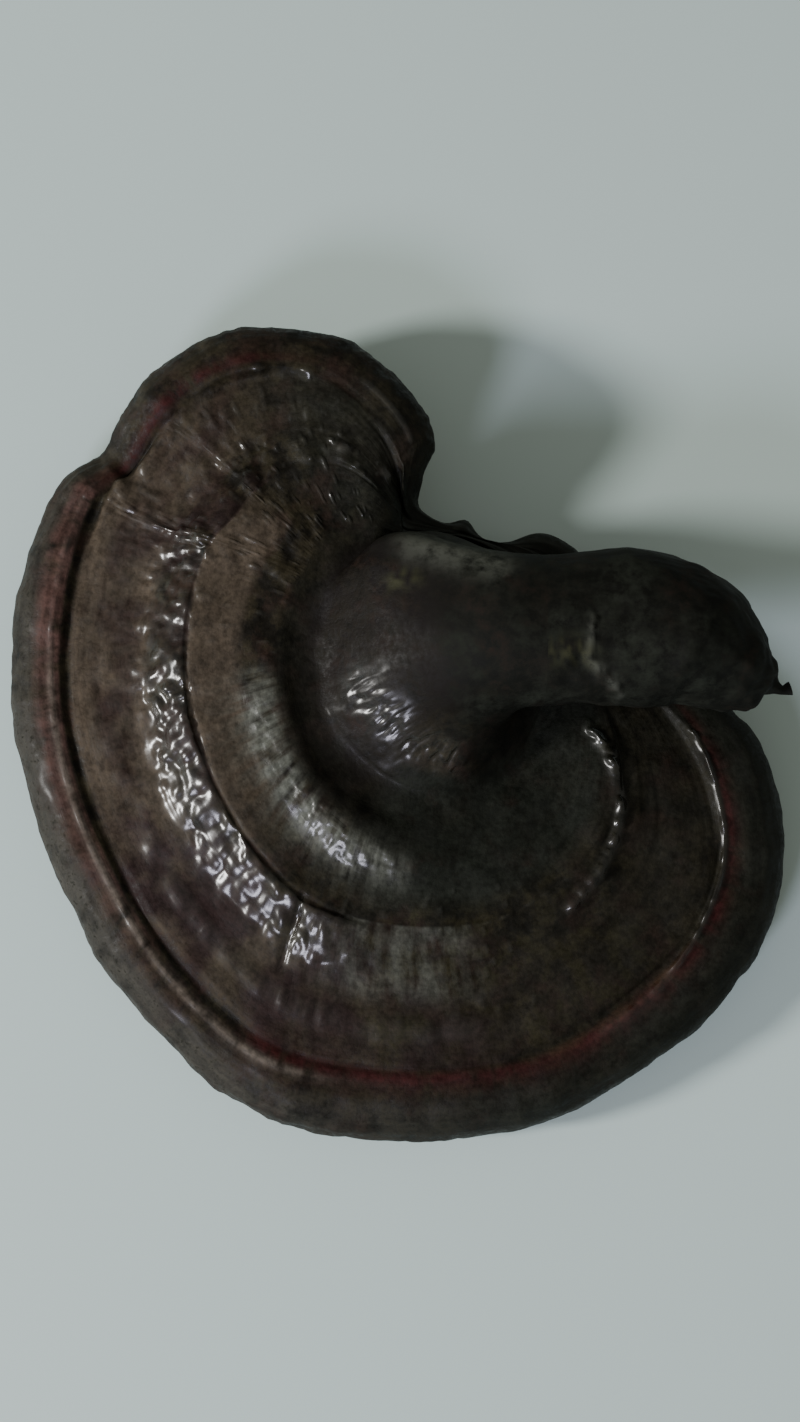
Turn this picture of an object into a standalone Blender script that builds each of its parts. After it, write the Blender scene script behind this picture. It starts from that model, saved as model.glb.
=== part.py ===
"""Dried reishi mushroom lying cap side up, at its real size: a kidney-shaped bracket cap and a thick side stem.

The cap is one loft of closed rings. The rings start under the cap, pass round its blunt margin, run inwards
over the growth ledges of the crust, and climb the umbo up to the neck, where the stem meets the cap face to face.
Distances in the tables are millimetres, turned into metres when the meshes are made.
"""

import math

import bmesh
import bpy
import numpy as np

MM = 0.001

# ---- driving dimensions, in millimetres ----
FOOT_CENTRE = (6.8, 5.4)  # middle of the umbo's foot, seen from above
FOOT_REACH_OUT = 21.6  # the umbo's foot to its left and front
FOOT_REACH_STEM = 16.6  # the foot below the stem
FOOT_REACH_BACK = 21.0
NECK_CENTRE = (22.0, 8.3, 24.0)  # the neck lies in a plane square to X
NECK_HALF_WIDTH = 11.7
NECK_HALF_HEIGHT = 10.4
NECK_GAP = 0.3  # between the cap's neck face and the stem
GROOVE_BEHIND_CREST = 2.5  # from the rim's crest inwards to the groove
TERRACE_BEHIND_CREST = 3.6  # from the crest inwards to where the terrace starts
LIP_TURN = 1.3  # how far inside the margin the rim turns under
LIP_TURN_RISE = 0.3  # share of the way from the underside to the margin's edge
PORE_EDGE_INSET = 4.2  # where the pore face starts, inside the margin
FLAT_SHARE = 0.3  # how far the flat middle of the underside reaches past the foot, towards the pore edge
GROWTH_PULL = 0.36  # how far a growth line runs straight out of the foot and into the margin, share of its length
RIM_PART = 0.2  # the outer share of a growth line, where folds and knobs show

# How the umbo's flank curves. Each pair: below the stem, and where the umbo faces away from the stem.
FLANK_LEANS_IN = (1.2, 7.0)
FLANK_LEANS_UP = (1.0, 5.0)
NECK_RUNS_BACK = (2.5, 19.0)
CROWN_RISE = 1.2  # the umbo's top above the neck's
SHOULDER_ANGLE = 110  # degrees on the foot; there the umbo's shoulder stands out over the foot
SHOULDER_OUT = 7.5
SHOULDER_RISE = 4.0

# ---- mesh fineness ----
POINTS_PER_STATION = 4
STEM_POINTS = 54
STEM_STEPS = 21
UMBO_SHARES = (0.13, 0.28, 0.44, 0.60, 0.74, 0.88, 1.0)  # rings between the foot and the neck
UNDERSIDE_SHARES = (0.0, FLAT_SHARE, 0.55, 0.78, 1.0)  # rings between the foot and the pore edge

# The cap's margin, once round anticlockwise from the notch behind the far lobe.
# Each station: angle on the umbo's foot where its growth line starts (degrees), margin x and y,
# height of the margin's outermost edge, height of the rim's crest, crest inset from the margin,
# depth of the groove inside the crest, height of the underside next to the margin.
MARGIN_STATIONS = [
    (103, 4.0, 31.2, 7.0, 12.0, 3.0, 0.0, 3.0),
    (107, 3.7, 35.8, 13.5, 18.0, 4.0, 0.0, 8.0),
    (111, 5.8, 41.8, 15.0, 19.6, 4.8, 0.1, 9.5),
    (115, 1.3, 49.8, 15.5, 20.4, 5.4, 0.15, 10.0),
    (120, -8.6, 58.2, 15.5, 20.6, 5.6, 0.2, 10.0),
    (126, -21.3, 60.9, 15.0, 20.2, 5.8, 0.2, 9.5),
    (132, -33.4, 58.2, 13.5, 19.0, 5.8, 0.3, 8.5),
    (138, -42.6, 51.6, 11.0, 16.6, 5.4, 0.4, 6.6),
    (144, -47.8, 44.2, 8.6, 13.8, 4.8, 0.6, 4.6),
    (150, -56.3, 36.1, 7.0, 12.8, 5.8, 0.7, 3.0),
    (160, -61.4, 22.6, 6.0, 12.3, 6.6, 0.7, 2.0),
    (173, -63.1, 5.2, 5.5, 12.0, 6.9, 0.7, 1.8),
    (188, -60.5, -12.0, 5.3, 12.0, 6.9, 0.7, 1.6),
    (203, -53.8, -29.5, 5.2, 12.0, 7.0, 0.55, 1.5),
    (218, -43.6, -46.4, 5.0, 12.0, 7.2, 0.45, 1.5),
    (232, -29.2, -61.0, 5.0, 12.0, 7.6, 0.35, 1.5),
    (246, -14.2, -67.5, 5.0, 12.0, 7.8, 0.5, 1.5),
    (262, 6.0, -69.0, 5.0, 12.0, 7.9, 0.3, 1.5),
    (277, 25.3, -65.4, 5.0, 12.0, 7.9, 0.2, 1.5),
    (292, 42.1, -55.4, 5.5, 12.1, 7.9, 0.2, 1.8),
    (306, 55.0, -42.4, 6.0, 12.3, 8.0, 0.2, 2.2),
    (320, 61.4, -26.0, 6.5, 12.5, 8.4, 0.2, 2.8),
    (335, 58.6, -8.0, 6.8, 12.2, 8.2, 0.2, 3.0),
    (352, 49.0, 4.0, 6.6, 10.6, 6.0, 0.1, 3.0),
    (375, 37.0, 16.0, 6.2, 9.4, 4.0, 0.0, 2.5),
    (402, 27.6, 26.6, 5.5, 8.6, 3.0, 0.0, 2.0),
    (435, 16.0, 26.9, 5.0, 8.8, 2.6, 0.0, 2.0),
]

# Relief between the umbo's foot and the rim, at every third margin station.
# Each: foot height, where the mid ridge is (share of the way to the terrace), ridge height, height of the
# smooth zone outside it, height at the ledge, depth of the crease at the ledge, height of the swollen band
# outside the crease, terrace height.
RELIEF_STATIONS = [
    (12.0, 0.20, 13.0, 13.0, 12.8, 0.0, 12.8, 12.6),
    (17.2, 0.18, 18.2, 18.7, 19.4, 0.1, 20.0, 20.1),
    (18.0, 0.17, 18.6, 18.6, 19.2, 0.1, 19.2, 17.6),
    (17.6, 0.13, 18.3, 18.1, 18.1, 0.2, 18.0, 12.4),
    (16.8, 0.14, 18.2, 17.4, 17.2, 0.35, 17.2, 11.9),
    (15.4, 0.20, 18.2, 15.9, 16.0, 0.45, 16.5, 11.9),
    (13.2, 0.24, 14.8, 14.0, 14.4, 0.2, 14.4, 12.2),
    (11.0, 0.24, 11.8, 12.5, 13.2, 0.15, 13.0, 12.2),
    (11.0, 0.20, 11.4, 11.2, 11.0, 0.0, 10.6, 10.0),
]
STATIONS = len(MARGIN_STATIONS)
CAP_POINTS = STATIONS * POINTS_PER_STATION

# The rim's section, from the margin's edge up to the crest: share of the inset, share of the rise.
RIM_SECTION = [(0.0, 0.0), (0.08, 0.42), (0.36, 0.80), (0.72, 0.98), (1.0, 1.0)]
GROOVE_WALL_AT = 0.6  # the groove's outer wall: share of the way to its floor, share of its depth
GROOVE_WALL_DEPTH = 0.42

# The ledge, the crease outside it and the band, as shares of the way from foot to terrace.
LEDGE_AT = 0.46
CREASE_AT = 0.495
BAND_LIP_AT = 0.525
BAND_LIP_DROP = 0.2  # the band's inner lip, lower than its top: share of the crease's depth
BAND_AT = 0.62
BAND_RISE = 0.62  # how far the band has risen there from the terrace to its top

# Three slopes of the crust. Each pair: share of the way, share of the rise.
BAND_SLOPE = [(0.88, 0.08), (0.72, 0.20)]  # outside the band: way from the foot, rise from the terrace
RIDGE_OUTER_SLOPE = [(0.55, 1.0), (0.2, 0.35)]  # way from the mid ridge to the ledge, rise from ridge to zone
RIDGE_INNER_SLOPE = [(0.7, 0.82), (0.35, 0.28)]  # way from the foot to the mid ridge, rise from the foot

# The fold where the left rim ends against the far lobe, and the two knobs on the cap's back edge.
FOLD_STATION = 8.25
FOLD_WIDTH = 0.34  # stations
FOLD_DEPTH = 2.4
FOLD_BITE = 1.6  # how far the fold dents the outline
FOLD_GROOVE = 0.8  # share of the groove that the fold closes
FOLD_TERRACE = 0.9  # how far the terrace sinks towards the fold
SWELL = 0.25  # slow unevenness of the crest and of the band
BACK_KNOBS = [(26.43, 0.15, 2.1, 1.6), (25.45, 0.35, 1.4, 0.8)]  # station, width in stations, reach outwards, rise

STEM_LUMP = 0.03  # the stem's unevenness, as a share of its thickness
NECK_SHARE = 0.13  # how much of the stem it takes to turn from the neck's plane onto its own line
LOOK = 0.02  # share of the stem over which its heading is measured

# The stem's centre line from the neck to the broken tip: x, y, z, half width, half height.
STEM_SECTIONS = [
    (22.0, 8.3, 24.0, 11.7, 10.4),
    (28.5, 8.8, 24.0, 11.6, 10.5),
    (35.0, 8.6, 23.9, 11.9, 10.9),
    (41.0, 8.0, 23.6, 11.7, 10.8),
    (45.6, 6.6, 23.3, 10.9, 10.3),
    (49.6, 4.1, 22.8, 8.6, 8.8),
    (53.7, 1.6, 22.2, 5.8, 6.6),
    (56.4, 0.6, 21.9, 3.4, 3.9),
    (57.7, 0.0, 21.8, 1.5, 1.7),
    (58.9, -0.6, 21.7, 0.9, 0.9),
    (60.2, -0.3, 21.6, 1.1, 0.9),
]


def around(table, turn):
    """Each column of a table of stations, read smoothly at turn, which runs from 0 to 1 once round."""
    rows = np.array(table, float)
    count = len(rows)
    place = np.atleast_1d(turn) * count
    before = np.floor(place).astype(int)
    share = (place - before)[:, None]
    a, b, c, d = (rows[(before + step) % count] for step in (-1, 0, 1, 2))
    return b + 0.5 * share * (c - a + share * (2 * a - 5 * b + 4 * c - d + share * (3 * (b - c) + d - a)))


def along(rows, share):
    """A row of an open table, read smoothly at share, which runs from 0 to 1 along it."""
    rows = np.array(rows, float)
    padded = np.vstack([2 * rows[0] - rows[1], rows, 2 * rows[-1] - rows[-2]])
    place = share * (len(rows) - 1)
    first = min(int(place), len(rows) - 2)
    s = place - first
    a, b, c, d = padded[first : first + 4]
    return b + 0.5 * s * (c - a + s * (2 * a - 5 * b + 4 * c - d + s * (3 * (b - c) + d - a)))


def bump(place, centre, width):
    """A smooth bump of height 1 at a station, counted once round the cap."""
    away = (place - centre + STATIONS / 2) % STATIONS - STATIONS / 2
    return np.exp(-((away / width) ** 2))


def blend(low, high, share):
    return low + (high - low) * share


def smooth(share):
    share = np.clip(share, 0, 1)
    return share * share * (3 - 2 * share)


class Cap:
    """The cap's growth lines and its heights, for points spaced once round it."""

    def __init__(self):
        turn = np.arange(CAP_POINTS) / CAP_POINTS
        self.station = turn * STATIONS
        unwound = np.array(MARGIN_STATIONS, float)
        unwound[:, 0] -= 360 * np.arange(STATIONS) / STATIONS
        start, x, y, edge, crest, inset, groove, under = around(unwound, turn).T
        self.start = np.radians(start + 360 * turn)
        fold = bump(self.station, FOLD_STATION, FOLD_WIDTH)
        self.margin = np.stack([x, y], 1)
        self.outward = self.outward_of(self.margin)
        knob_reach = sum(reach * bump(self.station, at, width) for at, width, reach, rise in BACK_KNOBS)
        knob_rise = sum(rise * bump(self.station, at, width) for at, width, reach, rise in BACK_KNOBS)
        self.reach_out = knob_reach - fold * FOLD_BITE
        self.edge = edge
        self.crest = crest - fold * FOLD_DEPTH + knob_rise + SWELL * self.waves(5, 0.4)
        self.inset = inset
        self.groove = groove * (1 - FOLD_GROOVE * fold)
        self.under = under
        relief = around(RELIEF_STATIONS, turn).T
        self.foot_z, self.ridge_at, self.ridge, self.zone = relief[:4]
        self.ledge, self.crease, self.band, terrace = relief[4:]
        self.terrace = terrace - FOLD_TERRACE * fold
        self.foot = self.foot_points()
        self.length = np.linalg.norm(self.margin - self.foot, axis=1)
        self.terrace_at = 1 - np.minimum((inset + TERRACE_BEHIND_CREST) / self.length, 0.5)

    def outward_of(self, margin):
        """Which way is out of the cap at each point of its margin, seen from above."""
        ahead = np.roll(margin, -2, 0) - np.roll(margin, 2, 0)
        out = np.stack([ahead[:, 1], -ahead[:, 0]], 1)
        return out / np.linalg.norm(out, axis=1)[:, None]

    def waves(self, count, phase):
        """Slow swells round the cap, three of them that never line up."""
        turn = 2 * np.pi * self.station / STATIONS
        return (
            np.sin(count * turn + phase)
            + 0.7 * np.sin((2 * count + 1) * turn + 2.1 * phase)
            + 0.5 * np.sin((3 * count + 4) * turn + 3.7 * phase)
        )

    def foot_points(self):
        cos, sin = np.cos(self.start), np.sin(self.start)
        reach_x = np.where(cos > 0, FOOT_REACH_STEM, FOOT_REACH_OUT)
        reach_y = np.where(sin > 0, FOOT_REACH_BACK, FOOT_REACH_OUT)
        return np.stack([FOOT_CENTRE[0] + reach_x * cos, FOOT_CENTRE[1] + reach_y * sin], 1)

    def growth_line(self, share):
        """Points in plan on every growth line. Each leaves the foot outwards and meets the margin squarely."""
        share = np.broadcast_to(share, self.length.shape)[:, None]
        pull = GROWTH_PULL * self.length[:, None]
        leave = self.foot + pull * np.stack([np.cos(self.start), np.sin(self.start)], 1)
        arrive = self.margin - pull * self.outward
        rest = 1 - share
        line = (
            rest**3 * self.foot
            + 3 * rest**2 * share * leave
            + 3 * rest * share**2 * arrive
            + share**3 * self.margin
        )
        near_rim = smooth((share - 1 + RIM_PART) / RIM_PART)
        return line + self.outward * self.reach_out[:, None] * near_rim

    def ring(self, share, height):
        height = np.broadcast_to(height, self.length.shape)
        return np.column_stack([self.growth_line(share), height])

    def inside_margin(self, distance):
        """The share of the growth line that is this far inside the margin, squeezed where the line is short."""
        squeeze = (1 - self.terrace_at) * self.length / (self.inset + TERRACE_BEHIND_CREST)
        return 1 - distance * squeeze / self.length

    def underside(self):
        pore_edge = self.inside_margin(PORE_EDGE_INSET)
        rings = []
        for share in UNDERSIDE_SHARES:
            lift = smooth((share - FLAT_SHARE) / (1 - FLAT_SHARE)) * self.under
            rings.append(self.ring(share * pore_edge, lift))
        turned = blend(self.under, self.edge, LIP_TURN_RISE)
        rings.append(self.ring(self.inside_margin(LIP_TURN), turned))
        return rings

    def rim(self):
        rings = [
            self.ring(self.inside_margin(inwards * self.inset), blend(self.edge, self.crest, rise))
            for inwards, rise in RIM_SECTION
        ]
        wall = self.inset + GROOVE_WALL_AT * GROOVE_BEHIND_CREST
        floor = self.inset + GROOVE_BEHIND_CREST
        rings.append(self.ring(self.inside_margin(wall), self.crest - GROOVE_WALL_DEPTH * self.groove))
        rings.append(self.ring(self.inside_margin(floor), self.crest - self.groove))
        return rings

    def crust(self):
        """The rings from the terrace inwards over the ledges to the umbo's foot."""
        band = self.band + SWELL * self.waves(7, 1.3)
        steps = [(1.0, self.terrace)]
        for way, rise in BAND_SLOPE:
            steps.append((way, blend(self.terrace, self.band, rise)))
        steps += [
            (BAND_AT, blend(self.terrace, band, BAND_RISE)),
            (BAND_LIP_AT, band - BAND_LIP_DROP * self.crease),
            (CREASE_AT, self.ledge - self.crease),
            (LEDGE_AT, self.ledge),
        ]
        for way, rise in RIDGE_OUTER_SLOPE:
            steps.append((blend(self.ridge_at, LEDGE_AT, way), blend(self.ridge, self.zone, rise)))
        steps.append((self.ridge_at, self.ridge))
        for way, rise in RIDGE_INNER_SLOPE:
            steps.append((way * self.ridge_at, blend(self.foot_z, self.ridge, rise)))
        steps.append((0.0, self.foot_z))
        return [self.ring(share * self.terrace_at, height) for share, height in steps]

    def umbo(self):
        """The rings that climb from the foot and tilt over until they stand square to the stem."""
        over = (1 - np.cos(self.start)) / 2  # 0 below the stem, 1 where the umbo faces away from it
        out = np.column_stack([np.cos(self.start), np.sin(self.start), 0 * over])
        shoulder = np.clip(np.cos(self.start - math.radians(SHOULDER_ANGLE)), 0, 1) ** 6
        foot = np.column_stack([self.foot, self.foot_z])
        neck = neck_ring(self.start)
        lean_in = blend(*FLANK_LEANS_IN, over) - SHOULDER_OUT * shoulder
        leave = foot - out * lean_in[:, None]
        leave[:, 2] += blend(*FLANK_LEANS_UP, over) + SHOULDER_RISE * shoulder
        arrive = neck.copy()
        arrive[:, 0] -= blend(*NECK_RUNS_BACK, over)
        arrive[:, 2] += CROWN_RISE * over**4
        rings = []
        for share in UMBO_SHARES:
            rest = 1 - share
            rings.append(
                rest**3 * foot
                + 3 * rest**2 * share * leave
                + 3 * rest * share**2 * arrive
                + share**3 * neck
            )
        return rings

    def rings(self):
        return self.underside() + self.rim() + self.crust() + self.umbo()


def neck_ring(angle):
    """The neck's outline, square to X. An angle on the umbo's foot meets the neck where the umbo carries it."""
    x, y, z = NECK_CENTRE
    return np.column_stack(
        [
            x + 0 * angle,
            y + NECK_HALF_WIDTH * np.sin(angle),
            z - NECK_HALF_HEIGHT * np.cos(angle),
        ]
    )


def stem_rings():
    """Rings square to the stem's centre line, from the neck face to the nub at its broken tip."""
    angle = 2 * np.pi * np.arange(STEM_POINTS) / STEM_POINTS
    first = NECK_GAP / (STEM_SECTIONS[1][0] - STEM_SECTIONS[0][0]) / (len(STEM_SECTIONS) - 1)
    rings = []
    for share in first + (1 - first) * np.arange(STEM_STEPS) / (STEM_STEPS - 1):
        x, y, z, half_width, half_height = along(STEM_SECTIONS, share)
        ahead = along(STEM_SECTIONS, min(share + LOOK, 1)) - along(STEM_SECTIONS, max(share - LOOK, 0))
        heading = math.atan2(ahead[1], ahead[0]) * smooth(share / NECK_SHARE)
        lump = 1 + STEM_LUMP * smooth(share / NECK_SHARE) * (
            np.sin(3 * angle + 9 * share) + np.sin(2 * angle - 15 * share + 1)
        )
        across = half_width * lump * np.sin(angle)
        rise = half_height * lump * np.cos(angle)
        rings.append(
            np.column_stack(
                [x - across * math.sin(heading), y + across * math.cos(heading), z - rise]
            )
        )
    return rings


def loft(name, rings, material):
    """A closed solid through the rings. A disc of rings is spun, then each ring is carried to its place."""
    points = len(rings[0])
    bm = bmesh.new()
    spokes = [bm.verts.new((1.0 + step, 0, 0)) for step in range(len(rings))]
    edges = [bm.edges.new(pair) for pair in zip(spokes, spokes[1:])]
    bmesh.ops.spin(
        bm,
        geom=spokes + edges,
        cent=(0, 0, 0),
        axis=(0, 0, 1),
        angle=2 * math.pi,
        steps=points,
        use_merge=True,
    )
    for vert in bm.verts:
        ring = round(math.hypot(vert.co.x, vert.co.y)) - 1
        point = round(math.atan2(vert.co.y, vert.co.x) / (2 * math.pi) * points) % points
        vert.co = rings[ring][point] * MM
    open_edges = [edge for edge in bm.edges if edge.is_boundary]
    bmesh.ops.edgeloop_fill(bm, edges=open_edges)
    bmesh.ops.recalc_face_normals(bm, faces=bm.faces)
    mesh = bpy.data.meshes.new(name)
    bm.to_mesh(mesh)
    bm.free()
    mesh.shade_smooth()
    mesh.set_sharp_from_angle(angle=math.radians(50))
    mesh.materials.append(material)
    piece = bpy.data.objects.new(name, mesh)
    bpy.context.scene.collection.objects.link(piece)
    return piece


def finish(name, colour, roughness):
    """A dielectric finish: colour is linear red, green and blue."""
    material = bpy.data.materials.new(name)
    material.use_nodes = True
    shader = material.node_tree.nodes["Principled BSDF"]
    shader.inputs["Base Color"].default_value = (*colour, 1)
    shader.inputs["Roughness"].default_value = roughness
    shader.inputs["Metallic"].default_value = 0
    material.diffuse_color = (*colour, 1)
    return material


def stand_at_origin(pieces):
    """Moves the meshes together, so that the whole stands on z = 0 with its box's middle at x = y = 0."""
    corners = np.array([vert.co for piece in pieces for vert in piece.data.vertices])
    low, high = corners.min(0), corners.max(0)
    shift = np.array([(low[0] + high[0]) / 2, (low[1] + high[1]) / 2, low[2]])
    for piece in pieces:
        for vert in piece.data.vertices:
            vert.co = np.array(vert.co) - shift
    return shift


def main():
    for old in list(bpy.data.objects):
        bpy.data.objects.remove(old, do_unlink=True)
    crust = finish("lacquered_crust", (0.035, 0.022, 0.015), 0.3)
    bark = finish("stem_crust", (0.014, 0.014, 0.011), 0.5)
    cap = loft("cap", Cap().rings(), crust)
    stem = loft("stem", stem_rings(), bark)
    shift = stand_at_origin([cap, stem])
    print("moved to the origin by", np.round(shift / MM, 2), "mm")
    for piece in (cap, stem):
        print(piece.name, len(piece.data.polygons), "faces", np.round(np.array(piece.dimensions) / MM, 1), "mm")


main()
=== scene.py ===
# %% [markdown]
# # A dried reishi mushroom
# A reishi is a bracket fungus: a kidney-shaped cap with a lacquered crust grows sideways out of a
# thick stem. The imported solids give its sizes and its place, but they are plain. This lesson builds the cap
# and the stem again with many times the faces, in the same place, and then paints them. First the solids are
# loaded, and their box says where the new pieces go.

# %% The imported solids
import math

import bmesh
import bpy
import numpy as np
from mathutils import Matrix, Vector, noise


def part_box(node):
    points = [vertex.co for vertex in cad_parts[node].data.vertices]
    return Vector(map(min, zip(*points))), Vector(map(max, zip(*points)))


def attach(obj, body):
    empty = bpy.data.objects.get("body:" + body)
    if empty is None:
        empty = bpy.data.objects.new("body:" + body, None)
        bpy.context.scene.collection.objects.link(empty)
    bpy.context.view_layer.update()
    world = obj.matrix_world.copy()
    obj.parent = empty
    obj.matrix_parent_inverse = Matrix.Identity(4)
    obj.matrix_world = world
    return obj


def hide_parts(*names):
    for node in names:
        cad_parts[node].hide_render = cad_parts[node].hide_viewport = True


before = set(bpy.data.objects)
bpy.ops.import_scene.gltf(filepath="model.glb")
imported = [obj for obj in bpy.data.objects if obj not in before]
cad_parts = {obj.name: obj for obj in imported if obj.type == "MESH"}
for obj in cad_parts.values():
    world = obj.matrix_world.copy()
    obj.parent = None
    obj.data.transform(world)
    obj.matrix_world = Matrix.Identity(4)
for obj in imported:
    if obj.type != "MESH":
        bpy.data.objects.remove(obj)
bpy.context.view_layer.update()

MM = 0.001

# %% [markdown]
# ## Once round the cap
# A bracket fungus grows outwards in zones, so its shape is easiest to say in its own directions: once
# round the margin, and from the margin inwards. These are the solids' own stations, repeated here because
# this script reads no other file, with the groove a little shallower at the front. Between stations every
# value runs on smoothly, so one short table gives as many points as wanted.

# %% Stations on the margin
# Angle on the umbo's foot where the growth line starts (degrees), margin x and y, height of the outermost
# edge, height of the rim's crest, crest inset from the margin, depth of the groove inside the crest, height
# of the underside next to the margin. Millimetres.
MARGIN_STATIONS = [
    (103, 4.0, 31.2, 7.0, 12.0, 3.0, 0.0, 3.0),
    (107, 3.7, 35.8, 13.5, 18.0, 4.0, 0.0, 8.0),
    (111, 5.8, 41.8, 15.0, 19.6, 4.8, 0.1, 9.5),
    (115, 1.3, 49.8, 15.5, 20.4, 5.4, 0.15, 10.0),
    (120, -8.6, 58.2, 15.5, 20.6, 5.6, 0.2, 10.0),
    (126, -21.3, 60.9, 15.0, 20.2, 5.8, 0.2, 9.5),
    (132, -33.4, 58.2, 13.5, 19.0, 5.8, 0.3, 8.5),
    (138, -42.6, 51.6, 11.0, 16.6, 5.4, 0.4, 6.6),
    (144, -47.8, 44.2, 8.6, 13.8, 4.8, 0.6, 4.6),
    (150, -56.3, 36.1, 7.0, 12.8, 5.8, 0.7, 3.0),
    (160, -61.4, 22.6, 6.0, 12.3, 6.6, 0.7, 2.0),
    (173, -63.1, 5.2, 5.5, 12.0, 6.9, 0.7, 1.8),
    (188, -60.5, -12.0, 5.3, 12.0, 6.9, 0.7, 1.6),
    (203, -53.8, -29.5, 5.2, 12.0, 7.0, 0.55, 1.5),
    (218, -43.6, -46.4, 5.0, 12.0, 7.2, 0.45, 1.5),
    (232, -29.2, -61.0, 5.0, 12.0, 7.6, 0.28, 1.5),
    (246, -14.2, -67.5, 5.0, 12.0, 7.8, 0.3, 1.5),
    (262, 6.0, -69.0, 5.0, 12.0, 7.9, 0.3, 1.5),
    (277, 25.3, -65.4, 5.0, 12.0, 7.9, 0.2, 1.5),
    (292, 42.1, -55.4, 5.5, 12.1, 7.9, 0.2, 1.8),
    (306, 55.0, -42.4, 6.0, 12.3, 8.0, 0.2, 2.2),
    (320, 61.4, -26.0, 6.5, 12.5, 8.4, 0.2, 2.8),
    (335, 58.6, -8.0, 6.8, 12.2, 8.2, 0.2, 3.0),
    (352, 49.0, 4.0, 6.6, 10.6, 6.0, 0.1, 3.0),
    (375, 37.0, 16.0, 6.2, 9.4, 4.0, 0.0, 2.5),
    (402, 27.6, 26.6, 5.5, 8.6, 3.0, 0.0, 2.0),
    (435, 16.0, 26.9, 5.0, 8.8, 2.6, 0.0, 2.0),
]
STATIONS = len(MARGIN_STATIONS)
POINTS_PER_STATION = 20
POINTS = STATIONS * POINTS_PER_STATION
turn = np.arange(POINTS) / POINTS
station = turn * STATIONS


def around(table):
    """Each column of a table of stations, read smoothly once round the cap."""
    rows = np.array(table, float)
    count = len(rows)
    place = turn * count
    before = np.floor(place).astype(int)
    share = (place - before)[:, None]
    a, b, c, d = (rows[(before + step) % count] for step in (-1, 0, 1, 2))
    return (b + 0.5 * share * (c - a + share * (2 * a - 5 * b + 4 * c - d + share * (3 * (b - c) + d - a)))).T


def smooth(share):
    """A share from 0 to 1 with a soft start and end."""
    share = np.clip(share, 0, 1)
    return share * share * (3 - 2 * share)


def blend(low, high, share):
    return low + (high - low) * share


def bump(centre, width):
    """A smooth bump of height 1 at one station."""
    away = (station - centre + STATIONS / 2) % STATIONS - STATIONS / 2
    return np.exp(-((away / width) ** 2))


def waves(count, phase):
    """Slow swells round the cap, three of them that never line up."""
    angle = 2 * np.pi * turn
    return (
        np.sin(count * angle + phase)
        + 0.7 * np.sin((2 * count + 1) * angle + 2.1 * phase)
        + 0.5 * np.sin((3 * count + 4) * angle + 3.7 * phase)
    )


print(POINTS, "growth lines round the cap")

# %% [markdown]
# ## Growth lines
# Every growth line leaves the foot of the umbo, the hump that the stem grows out of, and runs out to the
# margin. The foot is an oval, a little flatter on the stem's side. The table's angles are unwound before
# they are read, so that the last station runs on into the first with no jump.

# %% The two ends of every growth line, in millimetres
FOOT_CENTRE = (6.8, 5.4)
FOOT_REACH_OUT = 21.6
FOOT_REACH_STEM = 16.6
FOOT_REACH_BACK = 21.0
TERRACE_BEHIND_CREST = 3.6
RIM_AT_MOST = 0.5  # of a short growth line

unwound = np.array(MARGIN_STATIONS, float)
unwound[:, 0] -= 360 * np.arange(STATIONS) / STATIONS
start, margin_x, margin_y, edge_z, crest_z, inset, groove_depth, under_z = around(unwound)
start = np.radians(start + 360 * turn)
margin = np.stack([margin_x, margin_y], 1)
foot_reach_x = np.where(np.cos(start) > 0, FOOT_REACH_STEM, FOOT_REACH_OUT)
foot_reach_y = np.where(np.sin(start) > 0, FOOT_REACH_BACK, FOOT_REACH_OUT)
foot = np.array(FOOT_CENTRE) + np.stack([foot_reach_x * np.cos(start), foot_reach_y * np.sin(start)], 1)
line_length = np.linalg.norm(margin - foot, axis=1)
terrace_at = 1 - np.minimum((inset + TERRACE_BEHIND_CREST) / line_length, RIM_AT_MOST)
print("growth lines are", line_length.min().round(1), "to", line_length.max().round(1), "mm long")

# %% [markdown]
# ## The fold and the knobs
# A deep fold parts the far lobe from the rest, and knobs of old growth stick out in the notch. They could
# be pieces of their own, but on the fungus they are one with the margin. So a smooth bump at each of
# their stations draws the margin in or out, and lowers or lifts the rim's crest.

# %% The fold between the lobes, and the knobs in the notch
FOLD_STATION = 8.25
FOLD_WIDTH = 0.34
FOLD_DEPTH = 2.4
FOLD_BITE = 1.6
FOLD_GROOVE = 0.8
BACK_KNOBS = [(26.43, 0.15, 2.1, 1.6), (25.45, 0.35, 1.4, 0.8)]  # station, width, reach outwards, rise
SWELL = 0.25  # slow unevenness of the rim and the band, mm

ahead = np.roll(margin, -2, 0) - np.roll(margin, 2, 0)
outward = np.stack([ahead[:, 1], -ahead[:, 0]], 1) / np.linalg.norm(ahead, axis=1)[:, None]
fold = bump(FOLD_STATION, FOLD_WIDTH)
reach_out = sum(reach * bump(at, width) for at, width, reach, rise in BACK_KNOBS) - fold * FOLD_BITE
knob_rise = sum(rise * bump(at, width) for at, width, reach, rise in BACK_KNOBS)
crest_z = crest_z - fold * FOLD_DEPTH + knob_rise + SWELL * waves(5, 0.4)
groove_depth = groove_depth * (1 - FOLD_GROOVE * fold)
print("the rim's crest is", crest_z.min().round(1), "to", crest_z.max().round(1), "mm up")

# %% [markdown]
# ## Along a growth line
# A straight line from foot to margin would meet both at a slant. A cubic curve with a pull at both ends
# leaves the one and meets the other squarely, and takes only four points. A place on it is named by its
# share of the way out, or by its distance inside the margin.

# %% From the umbo's foot to the margin
GROWTH_PULL = 0.36
RIM_PART = 0.2


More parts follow.
